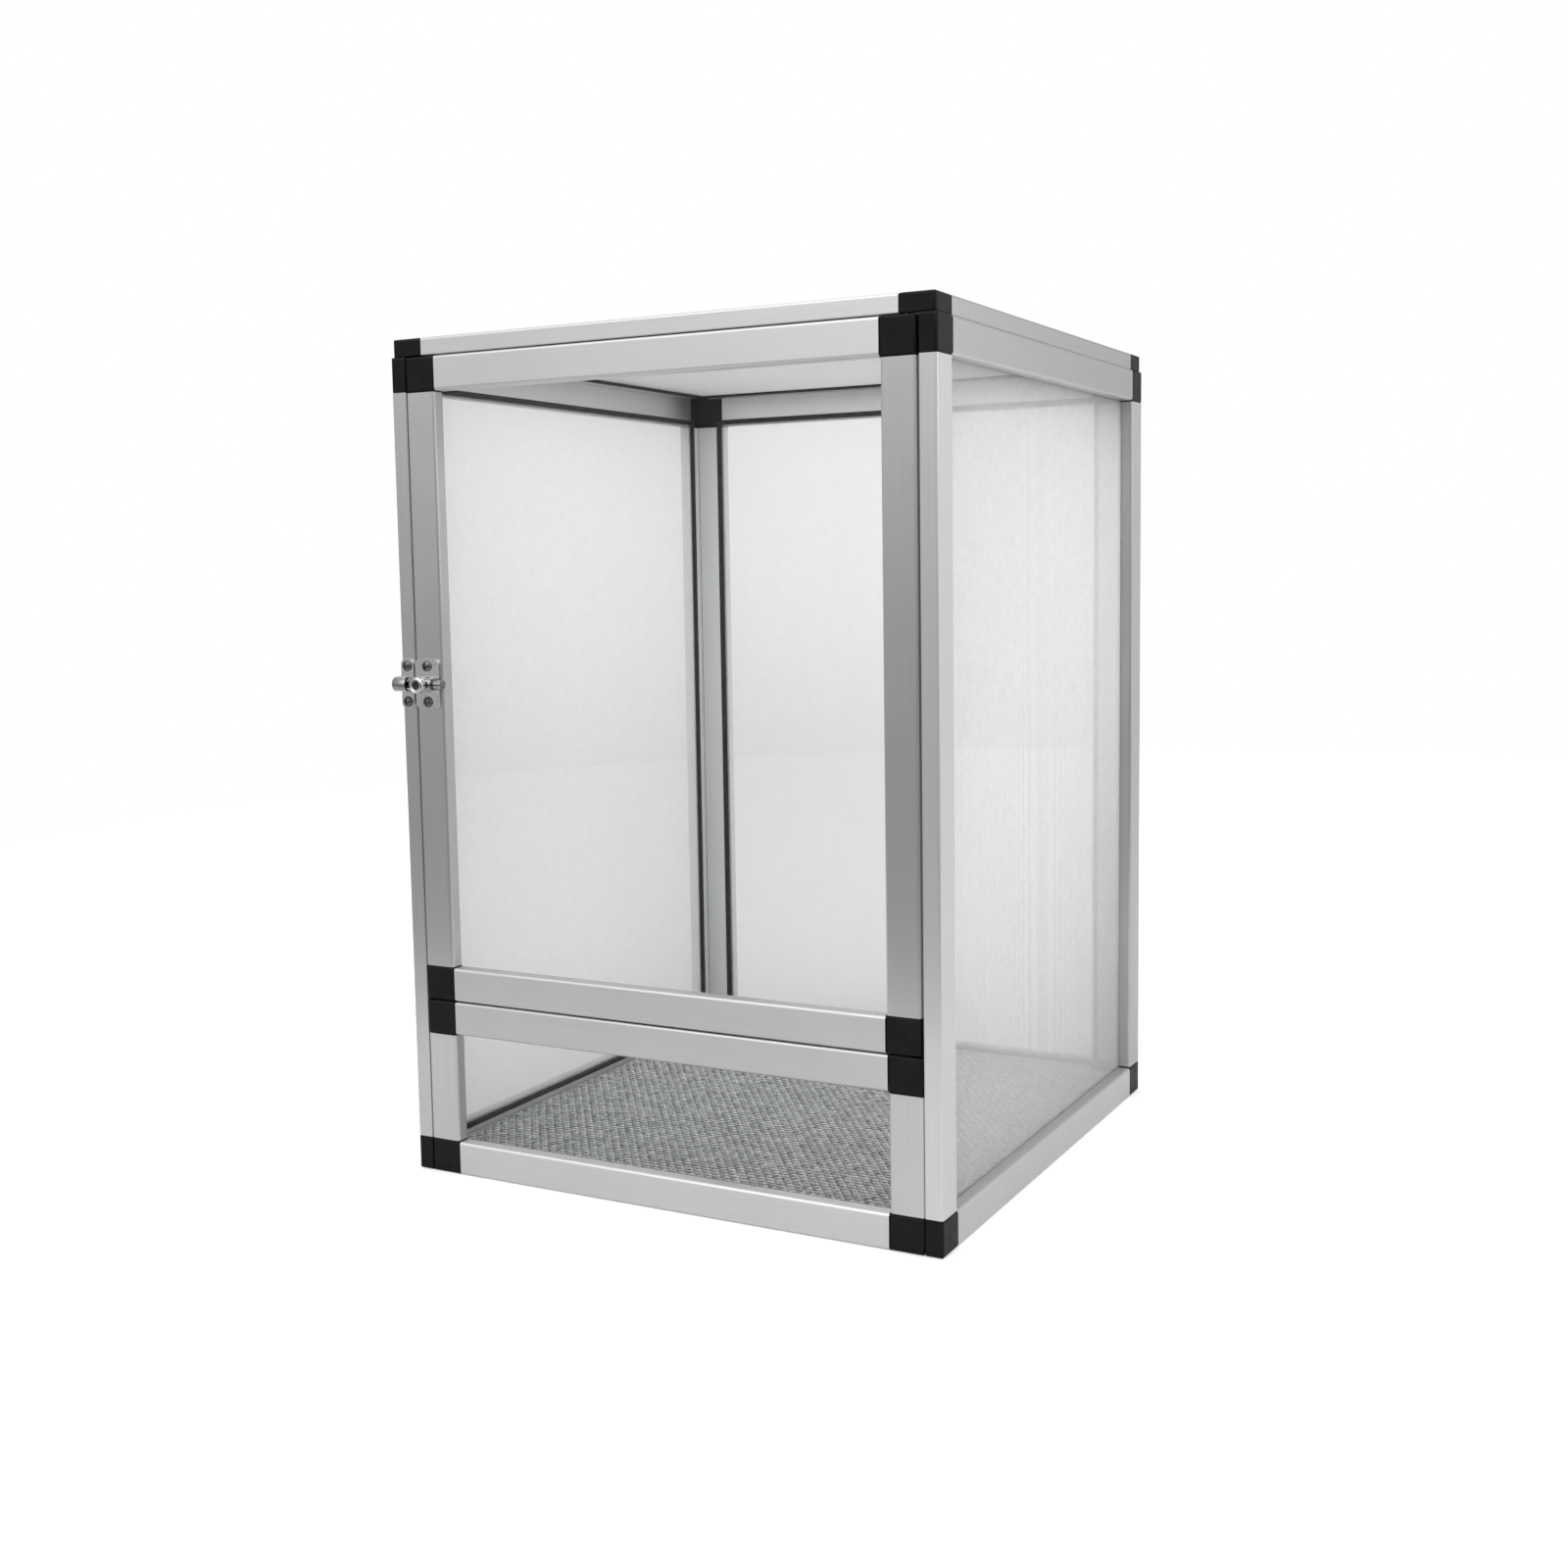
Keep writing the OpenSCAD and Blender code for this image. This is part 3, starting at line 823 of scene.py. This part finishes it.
@dataclass
class WovenFloor:
    """Plain weave of flattened strands, folded round the floor frame and up into its groove."""

    pitch: Span = (2.8 * MM, 3.8 * MM)
    cover: float = 0.6
    strand_t: float = 0.55 * MM
    stops_per_pitch: int = 2
    sides: int = 4
    half: float = field(init=False)
    top: float = field(init=False)
    under: float = field(init=False)
    turn_in: float = field(init=False)
    hem_top: float = field(init=False)

    def __post_init__(self) -> None:
        """Takes the places of the folds from the solids that the mesh is wrapped round."""
        low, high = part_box("floor_mesh")
        _, spline_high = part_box("floor_spline")
        self.half = high.x - self.strand_t
        self.top = high.z - self.strand_t
        self.under = low.z + self.strand_t
        self.turn_in = spline_high.x + self.strand_t
        self.hem_top = spline_high.z

    @property
    def folds(self) -> np.ndarray:
        """Distances from the middle of the flat cloth to the three folds on each side."""
        return np.cumsum([self.half, self.top - self.under, self.half - self.turn_in])

    def fold(self, run: np.ndarray) -> tuple[np.ndarray, np.ndarray, np.ndarray, np.ndarray]:
        """Folds the flat cloth round the frame in one direction.

        Args:
            run: Distances from the middle of the flat cloth.

        Returns:
            For each distance, the place across and up, and the outward direction across and up.
        """
        side, reach = np.sign(run), np.abs(run)
        edge, bottom, hem = self.folds
        zones = [reach <= edge, reach <= bottom, reach <= hem]
        across = np.select(zones, [reach, self.half, self.half - (reach - bottom)], self.turn_in)
        heights = [self.top, self.top - (reach - edge), self.under]
        up = np.select(zones, heights, self.under + (reach - hem))
        out_across = np.select(zones, [0.0, 1.0, 0.0], -1.0)
        out_up = np.select(zones, [1.0, 0.0, -1.0], 0.0)
        return side * across, up, side * out_across, out_up

    def strands(self, along: Axis, across: Axis) -> TubeMesh:
        """Lays the strands that run one way.

        Args:
            along: Axis that the strands run along.
            across: Axis that they are spaced along.

        Returns:
            The strands.
        """
        reach = self.folds[-1] + (self.hem_top - self.under)
        gap, crossing = self.pitch[across.value], self.pitch[along.value]
        order = np.arange(-int(reach / gap), int(reach / gap) + 1)
        places = order * gap
        last = int(reach / crossing) * self.stops_per_pitch
        stops = np.arange(-last, last + 1) * crossing / self.stops_per_pitch
        lift = self.strand_t / 2 * (1.0 if along is Axis.X else -1.0)
        weave = lift * np.cos(math.pi * order)[:, None] * np.cos(math.pi * stops / crossing)
        flat, inner = np.abs(places) <= self.half, np.abs(stops) <= self.half
        a, b, up = along.value, across.value, Axis.Z.value
        made = TubeMesh(self.strand_t, self.sides, self.cover * gap / self.strand_t)

        # Strands that lie flat across the floor and are folded at both ends
        place, height, out_across, out_up = self.fold(stops)
        whole = np.zeros((flat.sum(), len(stops), 3))
        whole[:, :, b] = places[flat][:, None]
        whole[:, :, a] = place + weave[flat] * out_across
        whole[:, :, up] = height + weave[flat] * out_up
        made.add(whole, across.unit)

        # Strands of the folded edges, which run beside the frame
        place, height, out_across, out_up = (part[~flat][:, None] for part in self.fold(places))
        hem = np.zeros((np.sum(~flat), inner.sum(), 3))
        hem[:, :, a] = stops[inner]
        hem[:, :, b] = place + weave[~flat][:, inner] * out_across
        hem[:, :, up] = height + weave[~flat][:, inner] * out_up
        made.add(hem, np.abs(out_up) * across.unit + np.abs(out_across) * Axis.Z.unit)
        return made

    def build(self, light: bpy.types.Material, dark: bpy.types.Material) -> None:
        """Weaves the floor and puts it in place of its plain net.

        Args:
            light: Lit copy of the strand finish, painted light, for the strands that run across.
            dark: Shaded copy of the strand finish, painted shade, for the strands that run from
                front to back.
        """
        for along, across, material in ((Axis.X, Axis.Y, light), (Axis.Y, Axis.X, dark)):
            mesh = self.strands(along, across).mesh(f"floor_strands_{along.name.lower()}")
            add_piece(mesh.name, mesh, Body.FRAME, Slot.FLOOR_WIRE, material, "floor_mesh")


@dataclass
class SplineBead:
    """Rubber bead pressed into the groove round one panel, rounded on top and at its corners."""

    panel: str
    normal: Axis
    sheet: str
    body: Body = Body.FRAME
    flap: float = 2.9 * MM
    stem: float = 1.6 * MM
    crown: float = 0.5 * MM
    corner_r: float = 2.4 * MM
    least_corner_r: float = 0.2 * MM
    corner_steps: int = 6
    crown_steps: int = 5

    def section(self, depth: float, seat: float) -> list[Span]:
        """Outlines the bead's section.

        Args:
            depth: Depth of the groove below the inner face of the panel.
            seat: Depth of the sheet that the flap lies on.

        Returns:
            Points as the distance in from the groove's outer wall and the depth.
        """
        crown = min(self.crown, seat)
        turns = [math.pi / 2 * step / self.crown_steps for step in range(self.crown_steps + 1)]
        rise = [(crown * (1 - math.cos(turn)), crown * (1 - math.sin(turn))) for turn in turns]
        fall = [(self.flap - drop, inset) for inset, drop in rise]
        foot = [(self.flap, seat), (self.stem, seat), (self.stem, depth)]
        return [(0.0, depth), *rise, *fall, *foot]

    def loop(self, half: Span, inset: float) -> list[Span]:
        """Runs once round the panel at one distance in from the groove's outer wall.

        Args:
            half: Half the width and height of the groove's outer wall.
            inset: Distance in from it.

        Returns:
            Points of a rounded rectangle.
        """
        r = max(self.corner_r - inset, self.least_corner_r)
        points = []
        for corner, (side_a, side_b) in enumerate([(1, 1), (-1, 1), (-1, -1), (1, -1)]):
            centre_a = side_a * (half[0] - inset - r)
            centre_b = side_b * (half[1] - inset - r)
            for step in range(self.corner_steps + 1):
                turn = math.pi / 2 * (corner + step / self.corner_steps)
                points.append((centre_a + r * math.cos(turn), centre_b + r * math.sin(turn)))
        return points

    def build(self, material: bpy.types.Material) -> bpy.types.Object:
        """Sweeps the bead round the panel and puts it in place of its plain ring.

        Args:
            material: Finish of the rubber.

        Returns:
            The bead.
        """
        node = f"{self.panel}_spline"
        low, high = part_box(node)
        inner, outer = faces_of(node, self.normal)
        sheet_inner, _ = faces_of(self.sheet, self.normal)
        outward = math.copysign(1.0, outer - inner)
        outline = self.section(abs(outer - inner), abs(inner - sheet_inner))
        middle, half = (low + high) / 2, (high - low) / 2
        n = self.normal.value
        first, second = (axis.value for axis in self.normal.others)
        points: list[Vector] = []
        for inset, depth in outline:
            for a, b in self.loop((half[first], half[second]), inset):
                point = middle.copy()
                point[first] += a
                point[second] += b
                point[n] = inner + outward * depth
                points.append(point)
        rows, stops = len(outline), len(points) // len(outline)
        faces: list[tuple[int, ...]] = []
        for row in range(rows):
            near, far = row * stops, (row + 1) % rows * stops
            for stop in range(stops):
                beside = (stop + 1) % stops
                faces.append((near + stop, near + beside, far + beside, far + stop))
        mesh = closed_mesh(f"{self.panel}_bead", points, faces)
        return add_piece(mesh.name, mesh, self.body, Slot.SPLINE, material, node)


@dataclass
class CrossScrews:
    """A pair of pan-head screws with a cross recess, one above the other."""

    node: str
    body: Body
    head_h: float = 2.2 * MM
    rim_h: float = 0.5 * MM
    shank_d: float = 2.8 * MM
    arm_w: float = 0.9 * MM
    arm_reach: float = 1.9 * MM
    recess: float = 0.9 * MM
    recess_rise: float = 0.5
    rings: int = 16
    steps: int = 64

    def head_height(self, x: float, y: float, head_r: float) -> float:
        """Gives the height of the head's top at one place, with the cross sunk into it.

        Args:
            x: Place across the head.
            y: Place up the head.
            head_r: Radius of the head.

        Returns:
            Height above the plate.
        """
        dome_h = self.head_h - self.rim_h
        ball_r = (head_r**2 + dome_h**2) / (2 * dome_h)
        height = self.head_h - ball_r + math.sqrt(max(ball_r**2 - x * x - y * y, 0.0))
        near, far = min(abs(x), abs(y)), max(abs(x), abs(y))
        if near < self.arm_w / 2 and far < self.arm_reach:
            height -= self.recess * (1 - self.recess_rise * far / self.arm_reach)
        return height

    def one(
        self, centre: Vector, head_r: float, length: float
    ) -> tuple[list[Vector], list[tuple[int, ...]]]:
        """Makes one screw.

        Args:
            centre: Middle of the head's seat, on the plate.
            head_r: Radius of the head.
            length: Length of the shank from the seat.

        Returns:
            Points and faces of the screw.
        """
        rows: list[list[Vector]] = []
        for ring in range(1, self.rings + 1):
            r = head_r * ring / self.rings
            rows.append([self.on_head(centre, r, step, head_r) for step in range(self.steps)])
        shank_r = self.shank_d / 2
        for r, depth in ((head_r, 0.0), (shank_r, 0.0), (shank_r, -length)):
            rows.append([self.on_ring(centre, r, step, depth) for step in range(self.steps)])
        points = [centre + Vector((0.0, -self.head_height(0.0, 0.0, head_r), 0.0))]
        points += [point for row in rows for point in row]
        faces: list[tuple[int, ...]] = []
        for step in range(self.steps):
            beside = (step + 1) % self.steps
            faces.append((0, 1 + step, 1 + beside))
            for row in range(len(rows) - 1):
                near, far = 1 + row * self.steps, 1 + (row + 1) * self.steps
                faces.append((near + step, far + step, far + beside, near + beside))
        last = 1 + (len(rows) - 1) * self.steps
        faces.append(tuple(range(last, last + self.steps)))
        return points, faces

    def on_ring(self, centre: Vector, r: float, step: int, depth: float) -> Vector:
        """Gives a point round the screw's axis, depth in front of the plate."""
        turn = 2 * math.pi * step / self.steps
        return centre + Vector((r * math.cos(turn), -depth, r * math.sin(turn)))

    def on_head(self, centre: Vector, r: float, step: int, head_r: float) -> Vector:
        """Gives a point on the top of the head.

        Args:
            centre: Middle of the head's seat, on the plate.
            r: Distance from the screw's axis.
            step: Step round the axis.
            head_r: Radius of the head.

        Returns:
            The point.
        """
        turn = 2 * math.pi * step / self.steps
        height = self.head_height(r * math.cos(turn), r * math.sin(turn), head_r)
        return self.on_ring(centre, r, step, height)

    def build(self, material: bpy.types.Material) -> bpy.types.Object:
        """Makes the pair and puts it in place of the plain screws.

        Args:
            material: Finish of the screws.

        Returns:
            The pair of screws.
        """
        low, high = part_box(self.node)
        head_r = (high.x - low.x) / 2
        seat = low.y + self.head_h
        points: list[Vector] = []
        faces: list[tuple[int, ...]] = []
        for level in (low.z + head_r, high.z - head_r):
            centre = Vector(((low.x + high.x) / 2, seat, level))
            made, sides = self.one(centre, head_r, high.y - seat)
            faces += [tuple(i + len(points) for i in side) for side in sides]
            points += made
        mesh = closed_mesh(f"{self.node[:-1]}_pair", points, faces)
        return add_piece(mesh.name, mesh, self.body, Slot.LATCH, material, self.node)


@dataclass
class FrameWork:
    """Aluminium profiles, corner blocks, panes and pins, which keep their solids."""

    rubber: bpy.types.Material
    block_edge: float = 0.35 * MM

    def dress(self) -> None:
        """Gives each solid of the framework its finish."""
        plastic = MouldedPlastic().material()
        acrylic = ClearAcrylic().material()
        steel = PIN_STEEL.material()
        for name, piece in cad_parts.items():
            if name.endswith(("_rail", "_stile")):
                # Some lengths take a lit or a shaded copy of the aluminium: painted light and shade
                finish = LIT_AND_SHADED_LENGTHS.get(name, BRIGHT_ALUMINIUM)
                clothe(piece, aluminium(finish, self.run_of(name)))
            elif name.endswith(("_corners", "_washer")):
                clothe(piece, plastic)
                soften(name, self.block_edge)
            elif name.endswith("_pane"):
                clothe(piece, acrylic)
            elif name.endswith("_spline"):
                clothe(piece, self.rubber)
            elif name.endswith("_pins"):
                clothe(piece, steel)
        LOG.info("framework dressed")

    @staticmethod
    def run_of(name: str) -> Axis:
        """Finds how a length of profile runs.

        Args:
            name: Name of the solid.

        Returns:
            The axis that it runs along.
        """
        low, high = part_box(name)
        sides = list(high - low)
        return Axis(sides.index(max(sides)))


@dataclass
class Latch:
    """Sliding bolt with its body, keeper and knob, with painted shade along its barrel and in the
    middle of its knob.
    """

    edge: float = 0.22 * MM
    plate: tuple[Colour, Colour] = ((0.6, 0.6, 0.606), (0.7, 0.702, 0.706))
    knob: tuple[Colour, Colour] = ((0.5, 0.5, 0.505), (0.6, 0.602, 0.606))
    # Radii and colour of the painted shade along the barrel's level
    barrel: Span = (3.0 * MM, 3.8 * MM)
    barrel_shade: Colour = (0.3, 0.3, 0.304)

    def build(self) -> None:
        """Dresses the latch and makes its screws."""
        low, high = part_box("latch_knob")
        middle = (low + high) / 2
        centre = (middle.x, middle.z)
        # The plating is darker near the knob's level along the barrel: painted shade
        plate = PaintedShadePlate(
            "latch_plate",
            *self.plate,
            centre=centre,
            round_line=False,
            inner_r=self.barrel[0],
            outer_r=self.barrel[1],
            shade=self.barrel_shade,
        ).material()
        # The knob's plating is dark round its middle: painted shade, as in a recess
        knob = PaintedShadePlate("latch_knob_painted_shade", *self.knob, centre=centre).material()
        for node in ("latch_body", "latch_keeper", "latch_bolt"):
            clothe(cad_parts[node], plate)
        clothe(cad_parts["latch_knob"], knob)
        for node in ("latch_body", "latch_keeper"):
            soften(node, self.edge)
        screw_steel = SCREW_STEEL.material()
        CrossScrews("latch_body_screws", Body.DOOR).build(screw_steel)
        CrossScrews("latch_keeper_screws", Body.FRAME).build(screw_steel)
        LOG.info("latch dressed")


@dataclass(frozen=True)
class SoftBox:
    """A soft area light."""

    name: str
    place: tuple[float, float, float]
    size: Span
    watts: float

    def hang(self, aim: Vector) -> None:
        """Hangs the light so that it faces a point.

        Args:
            aim: Point that it faces.
        """
        lamp = bpy.data.lights.new(self.name, "AREA")
        lamp.shape = "RECTANGLE"
        lamp.size, lamp.size_y = self.size
        lamp.energy = self.watts
        box = bpy.data.objects.new(self.name, lamp)
        box.location = self.place
        box.rotation_mode = "QUATERNION"
        box.rotation_quaternion = (aim - Vector(self.place)).to_track_quat("-Z", "Y")
        bpy.context.scene.collection.objects.link(box)


@dataclass
class Studio:
    """White table, soft light and the camera."""

    table_r: float = 1.5
    table_back: float = 0.9
    table_drop: float = 0.2 * MM
    table_steps: int = 96
    table_colour: Colour = (0.68, 0.68, 0.68)
    table_lift: float = 0.36
    room: Span = (0.46, 0.82)
    room_rise: Span = (-0.1, 0.16)
    sweep: Span = (0.42, 0.98)
    sweep_rise: Span = (0.25, 0.45)
    front_to_back: Span = (-0.85, 0.25)
    backdrop: Span = (0.72, 1.0)
    backdrop_rise: Span = (-0.2, 0.06)
    sky: float = 0.5
    sky_rise: Span = (0.2, 0.95)
    glow: float = 1.3
    glow_from: Span = (-6.0, 46.0)
    glow_reach: Span = (0.72, 0.985)
    camera_spot: float = 0.3
    spot_reach: Span = (0.8, 0.97)
    lamps: tuple[SoftBox, ...] = (
        SoftBox("overhead", (0.2, 0.1, 1.7), (1.4, 1.4), 4.0),
        SoftBox("right_side", (1.6, -0.3, 0.9), (0.9, 1.2), 3.0),
    )
    lamp_aim: tuple[float, float, float] = (0.0, 0.0, 0.2)
    azimuth: float = 28.057
    elevation: float = 5.84
    roll: float = -0.897
    stand: tuple[float, float, float] = (0.49054, -0.94030, 0.33183)
    focal_px: float = 1844.3
    centre_px: Span = (795.6, 772.7)
    frame_px: float = 1600.0
    sensor: float = 36.0

    def camera(self) -> None:
        """Sets the camera where the cage was seen from."""
        back = bearing(self.azimuth, self.elevation)
        right = Vector((0.0, 0.0, 1.0)).cross(back).normalized()
        up = back.cross(right)
        level = Matrix((right, up, back)).transposed()
        turn = Matrix.Rotation(math.radians(self.roll), 3, "Z")
        lens = bpy.data.cameras.new("camera")
        lens.sensor_width = self.sensor
        lens.lens = self.sensor * self.focal_px / self.frame_px
        lens.shift_x = (self.frame_px / 2 - self.centre_px[0]) / self.frame_px
        lens.shift_y = (self.centre_px[1] - self.frame_px / 2) / self.frame_px
        camera = bpy.data.objects.new("camera", lens)
        camera.matrix_world = Matrix.Translation(self.stand) @ (level @ turn).to_4x4()
        bpy.context.scene.collection.objects.link(camera)
        bpy.context.scene.camera = camera

    def table(self) -> None:
        """Lays the round white table that the cage stands on."""
        rim = []
        for step in range(self.table_steps):
            turn = 2 * math.pi * step / self.table_steps
            x, y = self.table_r * math.cos(turn), self.table_r * math.sin(turn)
            rim.append((x, self.table_back + y, -self.table_drop))
        mesh = bpy.data.meshes.new("table")
        mesh.from_pydata(rim, [], [tuple(range(self.table_steps))])
        table = bpy.data.objects.new("table", mesh)
        bpy.context.scene.collection.objects.link(table)
        sheet = ShaderSheet("white_table")
        matt = sheet.add("ShaderNodeBsdfDiffuse")
        glow = sheet.add("ShaderNodeEmission")
        both = sheet.add("ShaderNodeAddShader")
        path = sheet.add("ShaderNodeLightPath")
        lift = sheet.combine("MULTIPLY", path.outputs["Is Camera Ray"], self.table_lift)
        sheet.feed(self.table_colour, matt.inputs["Color"])
        sheet.join(lift, glow.inputs["Strength"])
        sheet.join(matt.outputs["BSDF"], both.inputs[0])
        sheet.join(glow.outputs["Emission"], both.inputs[1])
        clothe(table, sheet.surface(both.outputs["Shader"]))

    @staticmethod
    def nearness(sheet: NodeSheet, view: Socket, azimuth: float, elevation: float) -> Socket:
        """Tells how near a direction of view is to a set direction.

        Args:
            sheet: Node sheet that it is added to.
            view: The direction of view.
            azimuth: Degrees to the right of the front.
            elevation: Degrees above the level.

        Returns:
            The cosine of the angle between the two.
        """
        node = sheet.add("ShaderNodeVectorMath", operation="DOT_PRODUCT")
        node.inputs[1].default_value = bearing(azimuth, elevation)
        sheet.join(view, node.inputs[0])
        return node.outputs["Value"]

    def world(self) -> None:
        """Sets a white sweep, a dimmer room in front and a dark spot round the camera."""
        world = bpy.data.worlds.new("sweep")
        world.use_nodes = True
        sheet = NodeSheet(world.node_tree)
        out = sheet.add("ShaderNodeOutputWorld")
        light = sheet.add("ShaderNodeBackground")
        path = sheet.add("ShaderNodeLightPath")
        view = sheet.add("ShaderNodeTexCoord").outputs["Generated"]
        split = sheet.add("ShaderNodeSeparateXYZ")
        sheet.join(view, split.inputs["Vector"])
        across, back, up = (split.outputs[axis.name] for axis in Axis)
        to_camera = self.nearness(sheet, view, self.azimuth, 0.0)
        to_glow = self.nearness(sheet, view, *self.glow_from)
        front = sheet.ramp(up, self.room_rise, self.room)
        behind = sheet.ramp(across, self.sweep_rise, self.sweep)
        around = sheet.ramp(back, self.front_to_back, (front, behind))
        spot = sheet.ramp(to_camera, self.spot_reach, (1.0, self.camera_spot))
        above = sheet.ramp(up, self.sky_rise, (0.0, self.sky))
        glow = sheet.ramp(to_glow, self.glow_reach, (0.0, self.glow))
        level = sheet.combine("MULTIPLY", around, spot)
        level = sheet.combine("ADD", level, sheet.combine("ADD", above, glow))
        backdrop = sheet.ramp(up, self.backdrop_rise, self.backdrop)
        through = path.outputs["Is Transmission Ray"]
        shown = sheet.ramp(through, (0.0, 1.0), (level, backdrop))
        shown = sheet.combine("MAXIMUM", shown, path.outputs["Is Camera Ray"])
        light.inputs["Color"].default_value = (1.0, 1.0, 1.0, 1.0)
        sheet.join(shown, light.inputs["Strength"])
        sheet.join(light.outputs["Background"], out.inputs["Surface"])
        bpy.context.scene.world = world

    def build(self) -> None:
        """Sets the stage, the light and the camera."""
        self.camera()
        self.table()
        self.world()
        for lamp in self.lamps:
            lamp.hang(Vector(self.lamp_aim))
        bpy.context.scene.view_settings.view_transform = "Standard"
        LOG.info("studio set")


def main() -> None:
    """Builds the cage's looks in order."""
    logging.basicConfig(level=logging.INFO, format="%(name)s: %(message)s")
    Studio().build()
    rubber = SplineRubber().material()
    FrameWork(rubber).dress()
    screen_wire = SCREEN_WIRE.material()
    for panel, normal in PANELS.items():
        ScreenPanel(panel, normal).build(screen_wire)
        SplineBead(panel, normal, f"{panel}_mesh").build(rubber)
    WovenFloor().build(FLOOR_LIT.material(), FLOOR_SHADED.material())
    for panel, body in CLEAR_PANELS.items():
        SplineBead(panel, Axis.Y, f"{panel}_pane", body, stem=PANE_STEM).build(rubber)
    Latch().build()


if __name__ == "__main__":
    main()
